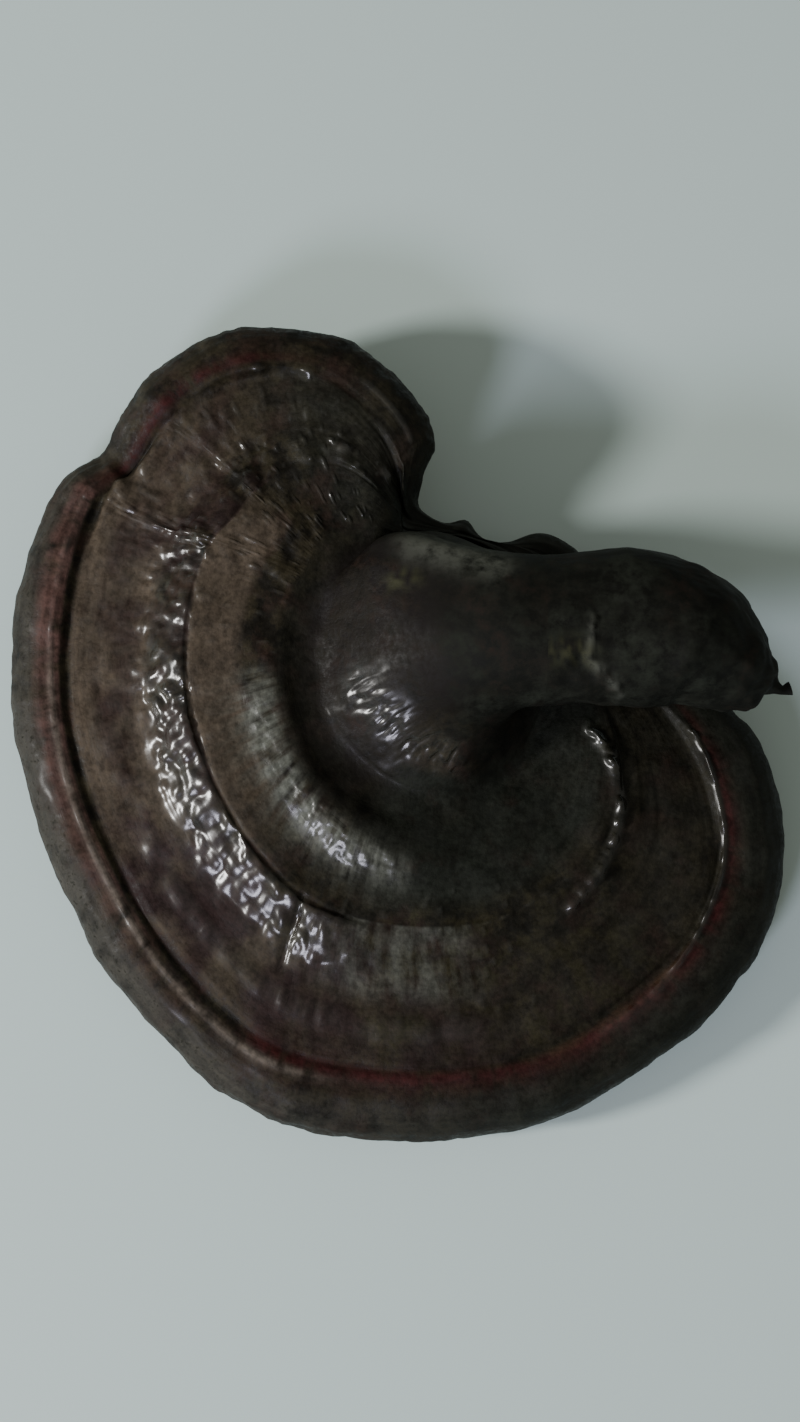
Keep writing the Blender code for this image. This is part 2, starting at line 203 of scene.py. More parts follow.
def growth_line(share):
    """A place in plan on every growth line, at this share of the way out."""
    share = np.broadcast_to(share, line_length.shape)[:, None]
    pull = GROWTH_PULL * line_length[:, None]
    leave = foot + pull * np.stack([np.cos(start), np.sin(start)], 1)
    arrive = margin - pull * outward
    rest = 1 - share
    line = rest**3 * foot + 3 * rest**2 * share * leave + 3 * rest * share**2 * arrive + share**3 * margin
    near_rim = smooth((share - 1 + RIM_PART) / RIM_PART)
    return line + outward * reach_out[:, None] * near_rim


def ring(share, height):
    return np.column_stack([growth_line(share), np.broadcast_to(height, line_length.shape)])


def inside_margin(distance):
    """The share of a growth line that is this far inside the margin, squeezed where the line is short."""
    squeeze = (1 - terrace_at) * line_length / (inset + TERRACE_BEHIND_CREST)
    return 1 - distance * squeeze / line_length


print("halfway out, x runs to", growth_line(0.5)[:, 0].max().round(1), "mm")

# %% [markdown]
# ## The key rings
# The cap's surface is one skin. It starts under the cap, turns round the blunt margin, climbs to the
# rim's crest, drops into the groove inside it, crosses the crust and climbs the umbo up to the neck. Each
# key ring below marks one such line, with the number of fine rings up to the next one.

# %% Under the cap and round the rim
PORE_EDGE_INSET = 4.2
FLAT_SHARE = 0.3
UNDERSIDE = [(0.0, 2), (FLAT_SHARE, 3), (0.55, 3), (0.78, 3), (1.0, 4)]  # share of the way, fine rings
LIP_TURN = 1.3
LIP_TURN_RISE = 0.3
# Share of the inset, share of the rise, fine rings, from the margin's edge up to the crest.
RIM_SECTION = [(0.0, 0.0, 4), (0.08, 0.42, 5), (0.36, 0.80, 6), (0.72, 0.98, 5), (1.0, 1.0, 3)]
BROW_BEHIND_CREST = 1.1  # the rim's top stays level up to here
GROOVE_BEHIND_CREST = 2.5
GROOVE_WALL_AT = 0.72
GROOVE_WALL_DEPTH = 0.45

key_rings = []
steps_after = []
KEY = {}


def key(name, steps, points):
    """Adds a key ring, with the number of fine rings from it to the next."""
    KEY[name] = len(key_rings)
    key_rings.append(points)
    steps_after.append(steps)


for share, steps in UNDERSIDE:
    lift = smooth((share - FLAT_SHARE) / (1 - FLAT_SHARE)) * under_z
    key(f"under {share}", steps, ring(share * inside_margin(PORE_EDGE_INSET), lift))
key("lip", 4, ring(inside_margin(LIP_TURN), blend(under_z, edge_z, LIP_TURN_RISE)))
for inwards, rise, steps in RIM_SECTION:
    name = {0.0: "edge", 1.0: "crest"}.get(inwards, f"rim {inwards}")
    key(name, steps, ring(inside_margin(inwards * inset), blend(edge_z, crest_z, rise)))
key("brow", 3, ring(inside_margin(inset + BROW_BEHIND_CREST), crest_z))
groove_wall = inside_margin(inset + GROOVE_WALL_AT * GROOVE_BEHIND_CREST)
key("groove wall", 3, ring(groove_wall, crest_z - GROOVE_WALL_DEPTH * groove_depth))
key("groove", 4, ring(inside_margin(inset + GROOVE_BEHIND_CREST), crest_z - groove_depth))
print(len(key_rings), "key rings up to the groove")

# %% [markdown]
# ## Terrace, band and ledge
# Inside the groove the crust climbs in zones, one for each spell of growth: a flat terrace, a glossy
# band, a ledge with a crease under it, a smooth zone, a low ridge and a trough round the umbo. They could
# be carved as relief later, but they are large enough to belong to the shape. So each gets key rings of
# its own, at heights from a second table.

# %% Heights of the crust
# At every third station: foot height, where the mid ridge is (share of the way), ridge height, height of the
# smooth zone outside it, height at the ledge, depth of the crease, height of the band outside the crease,
# terrace height.
RELIEF_STATIONS = [
    (12.0, 0.20, 13.0, 13.0, 12.8, 0.0, 12.8, 12.6),
    (17.2, 0.18, 18.2, 19.0, 19.8, 0.0, 20.0, 20.1),
    (18.0, 0.17, 18.6, 18.8, 19.2, 0.0, 19.2, 17.6),
    (17.6, 0.13, 18.3, 18.1, 18.1, 0.15, 18.0, 12.4),
    (16.8, 0.14, 18.2, 17.4, 17.2, 0.28, 17.2, 11.9),
    (15.4, 0.20, 18.2, 15.9, 16.1, 0.18, 16.3, 11.9),
    (13.2, 0.24, 14.8, 14.1, 13.9, 0.0, 13.8, 12.2),
    (11.0, 0.24, 11.8, 12.5, 13.2, 0.15, 13.0, 12.2),
    (11.0, 0.20, 11.4, 11.2, 11.0, 0.0, 10.6, 10.0),
]
FOLD_TERRACE = 0.9
FOOT_DRAWN_IN = 0.05  # share of the growth line, at the front only
FOOT_DRAWN_STATION = 13.0
FOOT_DRAWN_WIDTH = 4.0

foot_z, ridge_at, ridge_z, zone_z, ledge_z, crease_depth, band_z, terrace_z = around(RELIEF_STATIONS)
foot_share = -FOOT_DRAWN_IN * bump(FOOT_DRAWN_STATION, FOOT_DRAWN_WIDTH)
terrace_z = terrace_z - FOLD_TERRACE * fold
band_top = band_z + SWELL * waves(7, 1.3)
print("terrace at", terrace_z.min().round(1), "to", terrace_z.max().round(1), "mm")

# %% Terrace, band, ledge and zones
LEDGE_AT = 0.475
CREASE_AT = 0.495
BAND_LIP_AT = 0.517
BAND_LIP_DROP = 0.2
BAND_AT = 0.62
BAND_RISE = 0.62


def zone_place(way):
    """A share between the ridge and the ledge."""
    return blend(ridge_at, LEDGE_AT, way)


crust = [  # key ring, fine rings, share of the way out to the terrace, height
    ("terrace", 7, 1.0, terrace_z),
    ("slope", 7, 0.88, blend(terrace_z, band_z, 0.08)),
    ("band foot", 10, 0.72, blend(terrace_z, band_z, 0.20)),
    ("band", 9, BAND_AT, blend(terrace_z, band_top, BAND_RISE)),
    ("band lip", 4, BAND_LIP_AT, band_top - BAND_LIP_DROP * crease_depth),
    ("crease", 4, CREASE_AT, ledge_z - crease_depth),
    ("ledge", 10, LEDGE_AT, ledge_z),
    ("zone", 8, zone_place(0.50), zone_z),
    ("ridge outside", 6, zone_place(0.2), blend(ridge_z, zone_z, 0.35)),
    ("ridge", 5, ridge_at, ridge_z),
    ("ridge inside", 5, 0.7 * ridge_at, blend(foot_z, ridge_z, 0.82)),
    ("trough", 5, 0.35 * ridge_at, blend(foot_z, ridge_z, 0.28)),
    ("foot", 5, foot_share, foot_z),
]
for name, steps, share, height in crust:
    key(name, steps, ring(share * terrace_at, height))
print(len(key_rings), "key rings up to the umbo's foot")

# %% [markdown]
# ## The umbo
# The umbo is the hump that joins cap and stem. It could be a sphere joined on, but its skin has no seam
# to the crust. So each growth line runs on up the flank along a cubic curve, leaves the foot upright and
# ends level, on the oval where the stem takes over.

# %% The neck's outline
NECK_CENTRE = (22.0, 8.3, 24.0)
NECK_HALF_WIDTH = 11.7
NECK_HALF_HEIGHT = 10.4


def neck_ring(angle):
    """The neck's outline, square to X."""
    x, y, z = NECK_CENTRE
    across = y + NECK_HALF_WIDTH * np.sin(angle)
    return np.column_stack([x + 0 * angle, across, z - NECK_HALF_HEIGHT * np.cos(angle)])


neck = neck_ring(start)
print("the neck is", np.ptp(neck, axis=0).round(1)[1:], "mm")

# %% The flank, up to the neck
# Each pair: below the stem, and where the umbo faces away from the stem.
FLANK_LEANS_IN = (1.2, 7.0)
FLANK_LEANS_UP = (1.0, 5.0)
NECK_RUNS_BACK = (2.5, 19.0)
CROWN_RISE = 1.2
SHOULDER_ANGLE = 110
SHOULDER_OUT = 7.5
SHOULDER_RISE = 4.0
UMBO_SHARES = (0.13, 0.28, 0.44, 0.60, 0.74, 0.88, 1.0)
UMBO_STEPS = 6

facing_away = (1 - np.cos(start)) / 2  # 0 below the stem, 1 where the umbo faces away from it
shoulder = np.clip(np.cos(start - math.radians(SHOULDER_ANGLE)), 0, 1) ** 6
foot_ring = ring(foot_share * terrace_at, foot_z)
lean_in = blend(*FLANK_LEANS_IN, facing_away) - SHOULDER_OUT * shoulder
outwards = np.column_stack([np.cos(start), np.sin(start), 0 * start])
leave = foot_ring - outwards * lean_in[:, None]
leave[:, 2] += blend(*FLANK_LEANS_UP, facing_away) + SHOULDER_RISE * shoulder
arrive = neck.copy()
arrive[:, 0] -= blend(*NECK_RUNS_BACK, facing_away)
arrive[:, 2] += CROWN_RISE * facing_away**4
for share in UMBO_SHARES:
    rest = 1 - share
    flank = rest**3 * foot_ring + 3 * rest**2 * share * leave + 3 * rest * share**2 * arrive + share**3 * neck
    key("neck" if share == 1 else f"umbo {share}", UMBO_STEPS, flank)
print(len(key_rings), "key rings, the last at", neck[:, 2].max().round(1), "mm")

# %% [markdown]
# ## Fine rings
# Straight steps between key rings would show as terraces, and an even curve would overshoot where a wide
# step meets a narrow one. A curve whose speed follows the spacing of its points stays smooth and tight,
# so each growth line is refined with one, all lines at once.

# %% Refining the growth lines
SMALLEST_STEP = 1e-3


def refine(rings, steps):
    """Fine rings through the key rings, and for each the key ring it is at, as a number."""
    rings = np.array(rings)
    padded = np.concatenate([2 * rings[:1] - rings[1:2], rings, 2 * rings[-1:] - rings[-2:-1]])
    speed = np.sqrt(np.maximum(np.linalg.norm(np.diff(padded, axis=0), axis=2), SMALLEST_STEP))[..., None]
    fine, level = [], []
    for index in range(len(rings) - 1):
        a, b, c, d = padded[index : index + 4]
        before, here, after = speed[index : index + 3]
        leave = c - b + here * ((b - a) / before - (c - a) / (before + here))
        arrive = c - b + here * ((d - c) / after - (d - b) / (here + after))
        for step in range(steps[index]):
            s = step / steps[index]
            fine.append(
                (2 * s**3 - 3 * s**2 + 1) * b + (s**3 - 2 * s**2 + s) * leave
                + (3 * s**2 - 2 * s**3) * c + (s**3 - s**2) * arrive
            )
            level.append(index + s)
    return np.array(fine + [rings[-1]]), np.array(level + [len(rings) - 1])


cap_rings, level = refine(key_rings, steps_after)
level = level[:, None]
inward = np.linalg.norm(np.diff(cap_rings, axis=0), axis=2).mean(1)
depth = np.concatenate([[0], np.cumsum(inward)])[:, None]
depth -= depth[np.searchsorted(level[:, 0], KEY["edge"])]
print(len(cap_rings), "rings,", cap_rings.shape[0] * cap_rings.shape[1] * 2, "triangles")

# %% [markdown]
# ## Saying where things are
# Three things are needed over and over: a mask that is 1 in one stretch of rings and stations, a mask
# along a line in plan, and unevenness of a chosen size. The unevenness is read at each point's place, or
# at its place in growth space: once round the cap on a circle as large as the glossy band, and inwards by
# the mean distance from the margin. Stretching that space gives lines that follow the growth, or wrinkles
# that run across it, and a circle has no seam.

# %% Growth space
GROWTH_RADIUS = 40.0
angle_round = 2 * np.pi * turn
growth = np.stack(
    [
        GROWTH_RADIUS * np.cos(angle_round) + 0 * depth,
        GROWTH_RADIUS * np.sin(angle_round) + 0 * depth,
        depth + 0 * angle_round,
    ],
    2,
)
print("growth space is", round(2 * math.pi * GROWTH_RADIUS), "mm round and", depth.max().round(), "mm deep")


# %% Masks
def between_rings(first, last, fade=1.0):
    """1 between two key rings, fading over this many key rings outside them."""
    return smooth((level - KEY[first]) / fade + 1) * smooth((KEY[last] - level) / fade + 1)


def along_ring(ring_at, width):
    """A ridge of height 1 along a ring, which is given as a number and may differ from station to station."""
    return np.exp(-(((level - ring_at) / width) ** 2))


def near_ring(name, offset, width):
    """A ridge of height 1 along one key ring, moved inwards by a share of a key ring."""
    return along_ring(KEY[name] + offset, width)


def between_stations(first, last, fade=1.5):
    """1 between two stations, fading over this many stations outside them."""
    away = np.abs((station - (first + last) / 2 + STATIONS / 2) % STATIONS - STATIONS / 2)
    return smooth(((last - first) / 2 - away) / fade + 1)


def region(rings, ring_fade, stations, station_fade):
    """1 in one stretch of rings and of stations."""
    return between_rings(*rings, ring_fade) * between_stations(*stations, station_fade)


def stroke(places, width, points):
    """1 along a line through these places in plan, fading over its width."""
    plan = points[..., :2]
    nearest = np.full(plan.shape[:-1], np.inf)
    for a, b in zip(np.array(places[:-1]), np.array(places[1:])):
        share = np.clip(((plan - a) @ (b - a)) / ((b - a) @ (b - a)), 0, 1)
        nearest = np.minimum(nearest, np.linalg.norm(plan - a - share[..., None] * (b - a), axis=2))
    return np.exp(-((nearest / width) ** 2))


print("the crust takes up", round(100 * float(between_rings("edge", "foot").mean())), "% of the rings")

# %% Unevenness
SEED_STEP = 31.7  # each seed reads the noise this much further on
DOME_RADIUS = 0.6  # of the size of a dome


def noise_places(points, size, seed):
    """Where the noise is read for these points."""
    return [Vector(place) for place in points.reshape(-1, 3) / np.broadcast_to(size, 3) + SEED_STEP * seed]


def unevenness(points, size, seed):
    """Smooth noise between about -1 and 1. Size is in mm, once or for each axis."""
    heights = [noise.noise(place) for place in noise_places(points, size, seed)]
    return np.array(heights).reshape(points.shape[:-1])


def domes(points, size, seed):
    """Small domes of height 1 side by side, with sharp valleys between them."""
    from_middle = np.array([noise.voronoi(place)[0][0] for place in noise_places(points, size, seed)])
    return (1 - (from_middle / DOME_RADIUS) ** 2).reshape(points.shape[:-1])


crumple = unevenness(cap_rings, 1.5, 7)
print("noise runs from", crumple.min().round(2), "to", crumple.max().round(2))

# %% [markdown]
# ## Regions
# The crust is not the same all over. Outside the ledge lies a band that shrank into glossy crinkles, the
# mid ridge has a crinkled patch that is painted with a pale sheen, the umbo a shiny one, and by the fold the
# crust is crumpled. These regions steer both the relief and the finish, so they are named first.

# %% Regions of the crust
LINE_WITH_ROOM = 24.0
SHINY_FLANK = [(-6.4, 1.0), (-5.0, -1.2), (-2.2, -4.4), (1.2, -7.6), (4.4, -9.3), (7.2, -10.2)]

room = smooth(line_length / LINE_WITH_ROOM)
top_side = smooth(level - KEY["lip"] + 1)
above_foot = smooth(level - KEY["foot"] + 0.5)
glossy_band = region(("band foot", "band lip"), 0.6, (11.6, 15.6), 0.8)
low_band = glossy_band * between_stations(13.0, 17.5, 1.0)
ragged_band = region(("slope", "crease"), 0.8, (8.8, 12.4), 0.8)
fold_crumple = region(("terrace", "ridge"), 0.8, (6.6, 9.2), 0.8)
lobe_crumple = region(("slope", "crease"), 0.6, (1.8, 6.4), 1.0)
shiny_flank = stroke(SHINY_FLANK, 2.4, cap_rings) * above_foot
# The patch on the mid ridge that is painted with a pale sheen, over real crinkles and domes.
sheen_ridge = near_ring("ridge outside", 0.1, 1.05) * between_stations(12.3, 16.2, 0.9)
print("relief fades out on", int((room < 0.5).sum()), "of", POINTS, "growth lines")

# %% [markdown]
# ## Raised lines, beads and ticks
# Where the lacquer pooled it dried into thin raised lines that run with the growth, on the near lobe and
# along the rim, and into single beads and ticks. Each could be a small piece of its own, but on the
# fungus they are one with the crust. So each is a narrow mask that raises the skin, and noise breaks the
# lines up into beads.

# %% Where the lacquer pooled
LOBE_LINE = [
    (30.0, -4.4), (33.0, -9.0), (34.3, -13.4), (34.6, -17.6), (33.6, -22.6), (30.8, -28.4), (26.7, -33.2)
]
RIM_LINE_CLIMBS = 1.7  # key rings, from the groove's wall out to the crest
RIM_LINE_CLIMBS_AT = 20.2  # station
LONE_BEADS = [(-22.8, 52.2), (-15.1, 51.6), (-9.1, 38.9), (-2.4, 35.2)]
LONE_BEAD_RUNS = (0.7, -0.4)

beads = smooth(0.5 + 2.2 * unevenness(growth, (1.0, 1.0, 4), 8))
lobe_line = stroke(LOBE_LINE, 0.8, cap_rings) * (level < KEY["trough"]) * (level > KEY["terrace"])
rim_line_ring = KEY["groove wall"] - RIM_LINE_CLIMBS * smooth((RIM_LINE_CLIMBS_AT - station) / 1.2)
rim_line = along_ring(rim_line_ring, 0.65) * between_stations(18.9, 22.3, 0.5)
lobe_rim_line = near_ring("rim 0.72", 0.6, 0.3) * between_stations(2.2, 3.3, 0.4)
left_line = near_ring("crest", 0.1, 0.3) * between_stations(9.0, 15.2, 0.8)
dot_line = near_ring("slope", 0.1, 0.24) * between_stations(13.2, 15.9, 0.4)
dot_line += 0.8 * near_ring("slope", -0.1, 0.24) * between_stations(16.4, 17.3, 0.3)
lip_dots = near_ring("crease", 0.0, 0.4) * between_stations(17.9, 19.3, 0.5) * beads
lone_beads = sum(stroke([bead, np.add(bead, LONE_BEAD_RUNS)], 0.75, cap_rings) for bead in LONE_BEADS)
tick_places = region(("terrace", "ridge"), 0.8, (4.0, 12.2), 1.5)
tick_places += region(("slope", "zone"), 0.5, (15.8, 18.4), 0.6)
ticks = tick_places * smooth(9 * unevenness(growth, (0.9, 0.9, 2.0), 17) - 3.6)
print("ticks on", round(100 * float((ticks > 0.5).mean()), 1), "% of the skin")

# %% [markdown]
# ## Relief of the crust
# The crust has lumps a finger wide, fine growth lines that run round it, and crinkles where the lacquer
# dried and shrank, deepest in the glossy band. Real relief catches the light from any side, so all that
# the mesh is fine enough for is moved along the surface's own normals, and only the finest grain is left
# to the material. Where growth lines crowd together in the notch there is no room, so the relief fades
# out there.

# %% Broad lumps, in millimetres
LUMPS = [(12.0, 0.55), (5.0, 0.32), (2.2, 0.12)]  # size, height
NECK_EVEN_REACH = 20
NECK_EVENNESS = 0.9


def lumps_at(points):
    """Broad lumps in mm, nearly even round the neck."""
    from_neck = np.linalg.norm(points - np.array(NECK_CENTRE), axis=2) / NECK_EVEN_REACH
    heights = sum(height * unevenness(points, size, seed) for seed, (size, height) in enumerate(LUMPS))
    return heights * (1 - NECK_EVENNESS * np.exp(-(from_neck**2)))


lumps = lumps_at(cap_rings)
print("lumps", lumps.min().round(2), "to", lumps.max().round(2), "mm")

# %% Growth lines and the scored wall
growth_line_height = (
    0.04
    + 0.10 * between_rings("terrace", "band foot", 0.6)
    + 0.05 * region(("terrace", "zone"), 0.6, (18.5, 21.5), 1.5)
    + 0.12 * between_rings("edge", "rim 0.36")
)
relief = growth_line_height * (1 - between_stations(22.5, 25, 1)) * unevenness(growth, (15, 15, 0.75), 4)
wall_grooves = 0.22 * between_rings("edge", "rim 0.36", 0.7) + 0.06 * between_rings("rim 0.36", "crest")
relief += wall_grooves * unevenness(growth, (1.0, 1.0, 5.0), 10)
relief += 0.16 * between_rings("lip", "rim 0.36", 0.6) * unevenness(growth, (4.5, 4.5, 9), 6)
print("growth lines and grooves", relief.min().round(2), "to", relief.max().round(2), "mm")

# %% Crinkles, domes and crumples
crinkle = unevenness(growth, (1.1, 1.1, 2.0), 5) + 0.8 * unevenness(growth, (1.5, 1.5, 1.2), 9)
crinkle_height = 0.30 * glossy_band - 0.16 * low_band + 0.26 * ragged_band
crinkle_height += 0.04 * shiny_flank + 0.12 * sheen_ridge
relief += crinkle_height * crinkle
relief += (0.20 * low_band + 0.06 * glossy_band) * domes(growth, (1.7, 1.7, 1.9), 15)
relief += 0.14 * sheen_ridge * domes(cap_rings, 0.9, 16) + 0.26 * shiny_flank * domes(cap_rings, 1.25, 16)
relief += (0.26 * fold_crumple + 0.12 * lobe_crumple + 0.20 * ragged_band + 0.16 * shiny_flank) * crumple
relief += 0.45 * fold_crumple * unevenness(cap_rings, (2.6, 4.2, 4.0), 14)
print("with crinkles", relief.min().round(2), "to", relief.max().round(2), "mm")

# %% Raised lines and swells
LOW_SWELL = [(-8.5, -3.5), (-5.0, -8.8), (1.0, -13.2)]
relief += 1.1 * lobe_line * (0.4 + 0.6 * beads) + 0.9 * rim_line * (0.35 + 0.65 * beads)
relief += 0.25 * lobe_rim_line
relief += 0.8 * stroke(LOW_SWELL, 4.6, cap_rings) * above_foot
relief += 0.5 * near_ring("foot", 0.0, 0.6) * between_stations(8, 18, 2)
relief += 0.46 * left_line * (0.3 + 0.7 * beads)
relief += 0.5 * dot_line * beads + 0.2 * lip_dots + 0.22 * ticks + 0.5 * lone_beads
relief *= smooth(KEY["neck"] - level)
relief = (relief + lumps) * blend(room, 1, above_foot) * top_side
print("relief", relief.min().round(2), "to", relief.max().round(2), "mm")

# %% [markdown]
# ## Single marks
# A crack crosses the glossy band, a shorter one the ridge, and a knob sits where the fold ends. A Boolean
# could cut or add each, but it would break up the even rings. A stroke in plan sinks or lifts the skin
# along a line, and a table of them stays easy to change.

# %% Cracks and a knob, in plan
MARKS = [  # height, width, places
    (-0.7, 0.55, [(-15.2, -32.0), (-16.6, -36.5), (-18.6, -42.5)]),
    (-0.4, 0.35, [(-12.6, -18.5), (-10.0, -19.6), (-8.2, -21.4)]),
    (0.9, 1.5, [(-47.4, 37.6), (-45.6, 35.2)]),
]
crust_only = (level > KEY["edge"]) * (level < KEY["foot"])
for mark_height, width, places in MARKS:
    relief += mark_height * stroke(places, width, cap_rings) * crust_only
print(len(MARKS), "marks made")

# %% [markdown]
# ## Raising the skin
# The relief is a height for every point, so each point moves that far along the surface's own normal. At
# the neck the normals turn square to the neck's axis, as the stem's are, so that both pieces still meet
# edge to edge.


# %% The cap's surface
def normals(rings):
    """The outward direction at every point of a skin of rings."""
    along_line = np.gradient(rings, axis=0)
    round_cap = np.roll(rings, -1, 1) - np.roll(rings, 1, 1)
    normal = np.cross(round_cap, along_line)
    return normal / np.maximum(np.linalg.norm(normal, axis=2), 1e-6)[..., None]


away_from_neck = cap_rings - np.array(NECK_CENTRE)
away_from_neck[..., 0] = 0
away_from_neck /= np.linalg.norm(away_from_neck, axis=2)[..., None]
cap_normals = blend(normals(cap_rings), away_from_neck, smooth(level - KEY["neck"] + 1)[..., None])
cap_surface = cap_rings + cap_normals * relief[..., None]
cap_surface[..., 2] = np.maximum(cap_surface[..., 2], 0)
print("the cap is", np.ptp(cap_surface.reshape(-1, 3), axis=0).round(1), "mm")

# %% [markdown]
# ## Spinning the skin
# A straight line of points, one for each ring, is spun once round into a flat disc. That gives every face
# in one operator, with the seam merged. Each point of the disc is then carried to its place on the cap,
# and takes with it the values that the finish needs. The two open ends are filled, under the cap and
# inside the neck.

# %% Where the pieces stand
def place_on_solids(points):
    """Moves the tables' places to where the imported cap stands."""
    low, high = (np.array(corner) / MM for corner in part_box("cap"))
    here_low, here_high = cap_rings.reshape(-1, 3).min(0), cap_rings.reshape(-1, 3).max(0)
    shift = (low + high - here_low - here_high) / 2
    return points + np.array([shift[0], shift[1], 0])


print("the tables' zero goes to", place_on_solids(np.zeros(3)).round(2), "mm")


# %% From a disc of rings to a skin
def spin_skin(rings, values, growth_places=None):
    """A bmesh through the rings, with one layer for each named array of values, and one for growth space."""
    bm = bmesh.new()
    spoke = [bm.verts.new((1.0 + index, 0, 0)) for index in range(len(rings))]
    edges = [bm.edges.new(pair) for pair in zip(spoke, spoke[1:])]
    count = len(rings[0])
    bmesh.ops.spin(
        bm, geom=spoke + edges, cent=(0, 0, 0), axis=(0, 0, 1), angle=2 * math.pi, steps=count, use_merge=True
    )
    layers = {name: bm.verts.layers.float.new(name) for name in values}
    growth_layer = bm.verts.layers.float_vector.new("growth")
    for vert in bm.verts:
        ring_at = round(math.hypot(vert.co.x, vert.co.y)) - 1
        point_at = round(math.atan2(vert.co.y, vert.co.x) / (2 * math.pi) * count) % count
        vert.co = rings[ring_at][point_at] * MM
        for name, layer in layers.items():
            vert[layer] = values[name][ring_at][point_at]
        if growth_places is not None:
            vert[growth_layer] = growth_places[ring_at][point_at] * MM
    return bm


print("skins have", cap_surface.size // 3, "points on the cap")


# %% Closing a skin and making it a piece
def close_ends(bm):
    """Fills the open rings with flat faces that keep an edge to the skin."""
    rim_edges = [edge for edge in bm.edges if edge.is_boundary]
    filled = bmesh.ops.edgeloop_fill(bm, edges=rim_edges)["faces"]
    for edge in rim_edges:
        edge.smooth = False
    return filled


def finish_piece(name, bm, materials):
    """A smooth object with its faces outwards, at the origin."""
    bmesh.ops.recalc_face_normals(bm, faces=bm.faces)
    mesh = bpy.data.meshes.new(name)
    for face in bm.faces:
        face.smooth = True
    bm.to_mesh(mesh)
    bm.free()
    for material in materials:
        mesh.materials.append(material)
    piece = bpy.data.objects.new(name, mesh)
    bpy.context.scene.collection.objects.link(piece)
    low, high = np.array(piece.bound_box).min(0) / MM, np.array(piece.bound_box).max(0) / MM
    print(name, len(mesh.polygons), "faces,", (high - low).round(1), "mm")
    return piece


print("piece helpers ready")

# %% [markdown]
# ## Where the finishes lie
# The lacquer is oxblood where it is young, just inside the margin, and darkens inwards to olive brown and
# nearly black on the umbo. The blunt outer wall is dusty grey green. Tan, pink and pale grey are painted
# lighter on the side that faces the window, and the crust darker on the side turned from it, in the notch and
# in the trough round the umbo: painted light and painted shade over the crust's own colours. Each finish is
# a mask over rings and stations, kept on the points of the mesh, so that it follows the growth and stays put
# when the cap is seen from any side.

# %% Finish stations
# At every third station: how pale the outer wall is, how pink the crest, how red the young band, the ring
# that this band follows and its width in key rings, how tan the terrace, how dark the crust. Pale, pink and
# tan run highest on the side that faces the window, and dark on the side turned from it, so these columns
# are partly the crust's own tones and partly painted light and painted shade.
FINISH_STATIONS = [
    (0.05, 0.00, 0.00, 10.6, 0.8, 0.05, 0.90),
    (0.05, 0.00, 0.00, 10.6, 0.8, 0.15, 0.45),
    (0.20, 0.00, 0.45, 10.7, 0.9, 0.25, 0.15),
    (0.50, 0.80, 0.40, 10.4, 0.9, 0.90, 0.00),
    (0.85, 0.75, 0.10, 10.3, 0.9, 1.00, 0.00),
    (0.70, 0.05, 0.85, 12.1, 1.7, 0.60, 0.15),
    (0.02, 0.05, 1.00, 10.6, 1.15, 0.15, 0.40),
    (0.05, 0.00, 0.95, 10.6, 0.75, 0.05, 0.65),
    (0.00, 0.00, 0.00, 10.6, 0.7, 0.00, 0.95),
]
paleness, pinkness, redness, red_ring, red_width, tan, darkness = around(FINISH_STATIONS)
print("the band is red on", int((redness > 0.3).sum()), "of", POINTS, "growth lines")

# %% Colours of the rim and the crust
rim_masks = {
    "red": redness * along_ring(red_ring, red_width) * between_stations(15.3, 35.4, 0.5)
    + 0.5 * near_ring("brow", 0.0, 1.1) * between_stations(5.6, 8.0, 0.8),
    # Pink: the rim's rosy tint, painted lighter where the crest faces the window: partly painted light.
    "pink": pinkness * region(("rim 0.72", "brow"), 0.8, (8.9, 15), 0.4),
    # Pale: the dusty grey wall, laid on most where the wall faces the window: partly painted light.
    "pale": paleness * between_rings("lip", "rim 0.36", 1.3),
    # Beige: a light line on the crest on the window side, where it catches the light: partly painted
    # highlight.
    "beige": near_ring("crest", 0.1, 0.45) * between_stations(11.5, 15.4, 1.0),
    "rust": 0.6 * near_ring("brow", 0.3, 0.9) * between_stations(18.4, 19.3, 0.8),
}
crust_masks = {
    # Tan: the terrace's warm tone, laid on most on the side that faces the window: partly painted light.
    "tan": tan * between_rings("terrace", "band foot", 0.8) + region(("crease", "zone"), 0.6, (8.5, 13), 2),
    "olive": region(("terrace", "ridge outside"), 0.8, (16.8, 19.2), 0.8),
    "plum": 0.7 * region(("slope", "crease"), 0.5, (7, 16.5), 1)
    + 0.9 * region(("groove", "band foot"), 0.6, (13.2, 17.2), 0.8),
    # Dark: the crust's darker tone, laid on most on the side turned from the window and in the trough round
    # the umbo: partly painted shade.
    "dark": darkness * between_rings("lip", "foot", 2.5)
    + 0.6 * region(("ridge inside", "foot"), 1.0, (6, 16), 2),
    # Grey green: a dusty tint darker than the crust, on the side turned from the window, on its wall and in
    # the notch: partly painted shade.
    "grey green": region(("zone", "umbo 0.13"), 1.0, (16.4, 22.5), 1.0)
    + region(("lip", "ridge"), 1.0, (24.6, 27.2), 0.4)
    + 0.7 * region(("lip", "rim 0.72"), 1.0, (17.5, 24.0), 1.5)
    + 0.6 * region(("terrace", "foot"), 1.0, (1.0, 4.2), 1.6),
    # Dust: a pale grey-green sheen on the mid ridge and on a strip of the band, where they catch the light:
    # painted sheen.
    "dust": 1.5 * sheen_ridge + 0.55 * region(("band foot", "crease"), 0.6, (16.2, 17.3), 0.6),
}
print(len(rim_masks) + len(crust_masks), "colour masks outside the umbo")

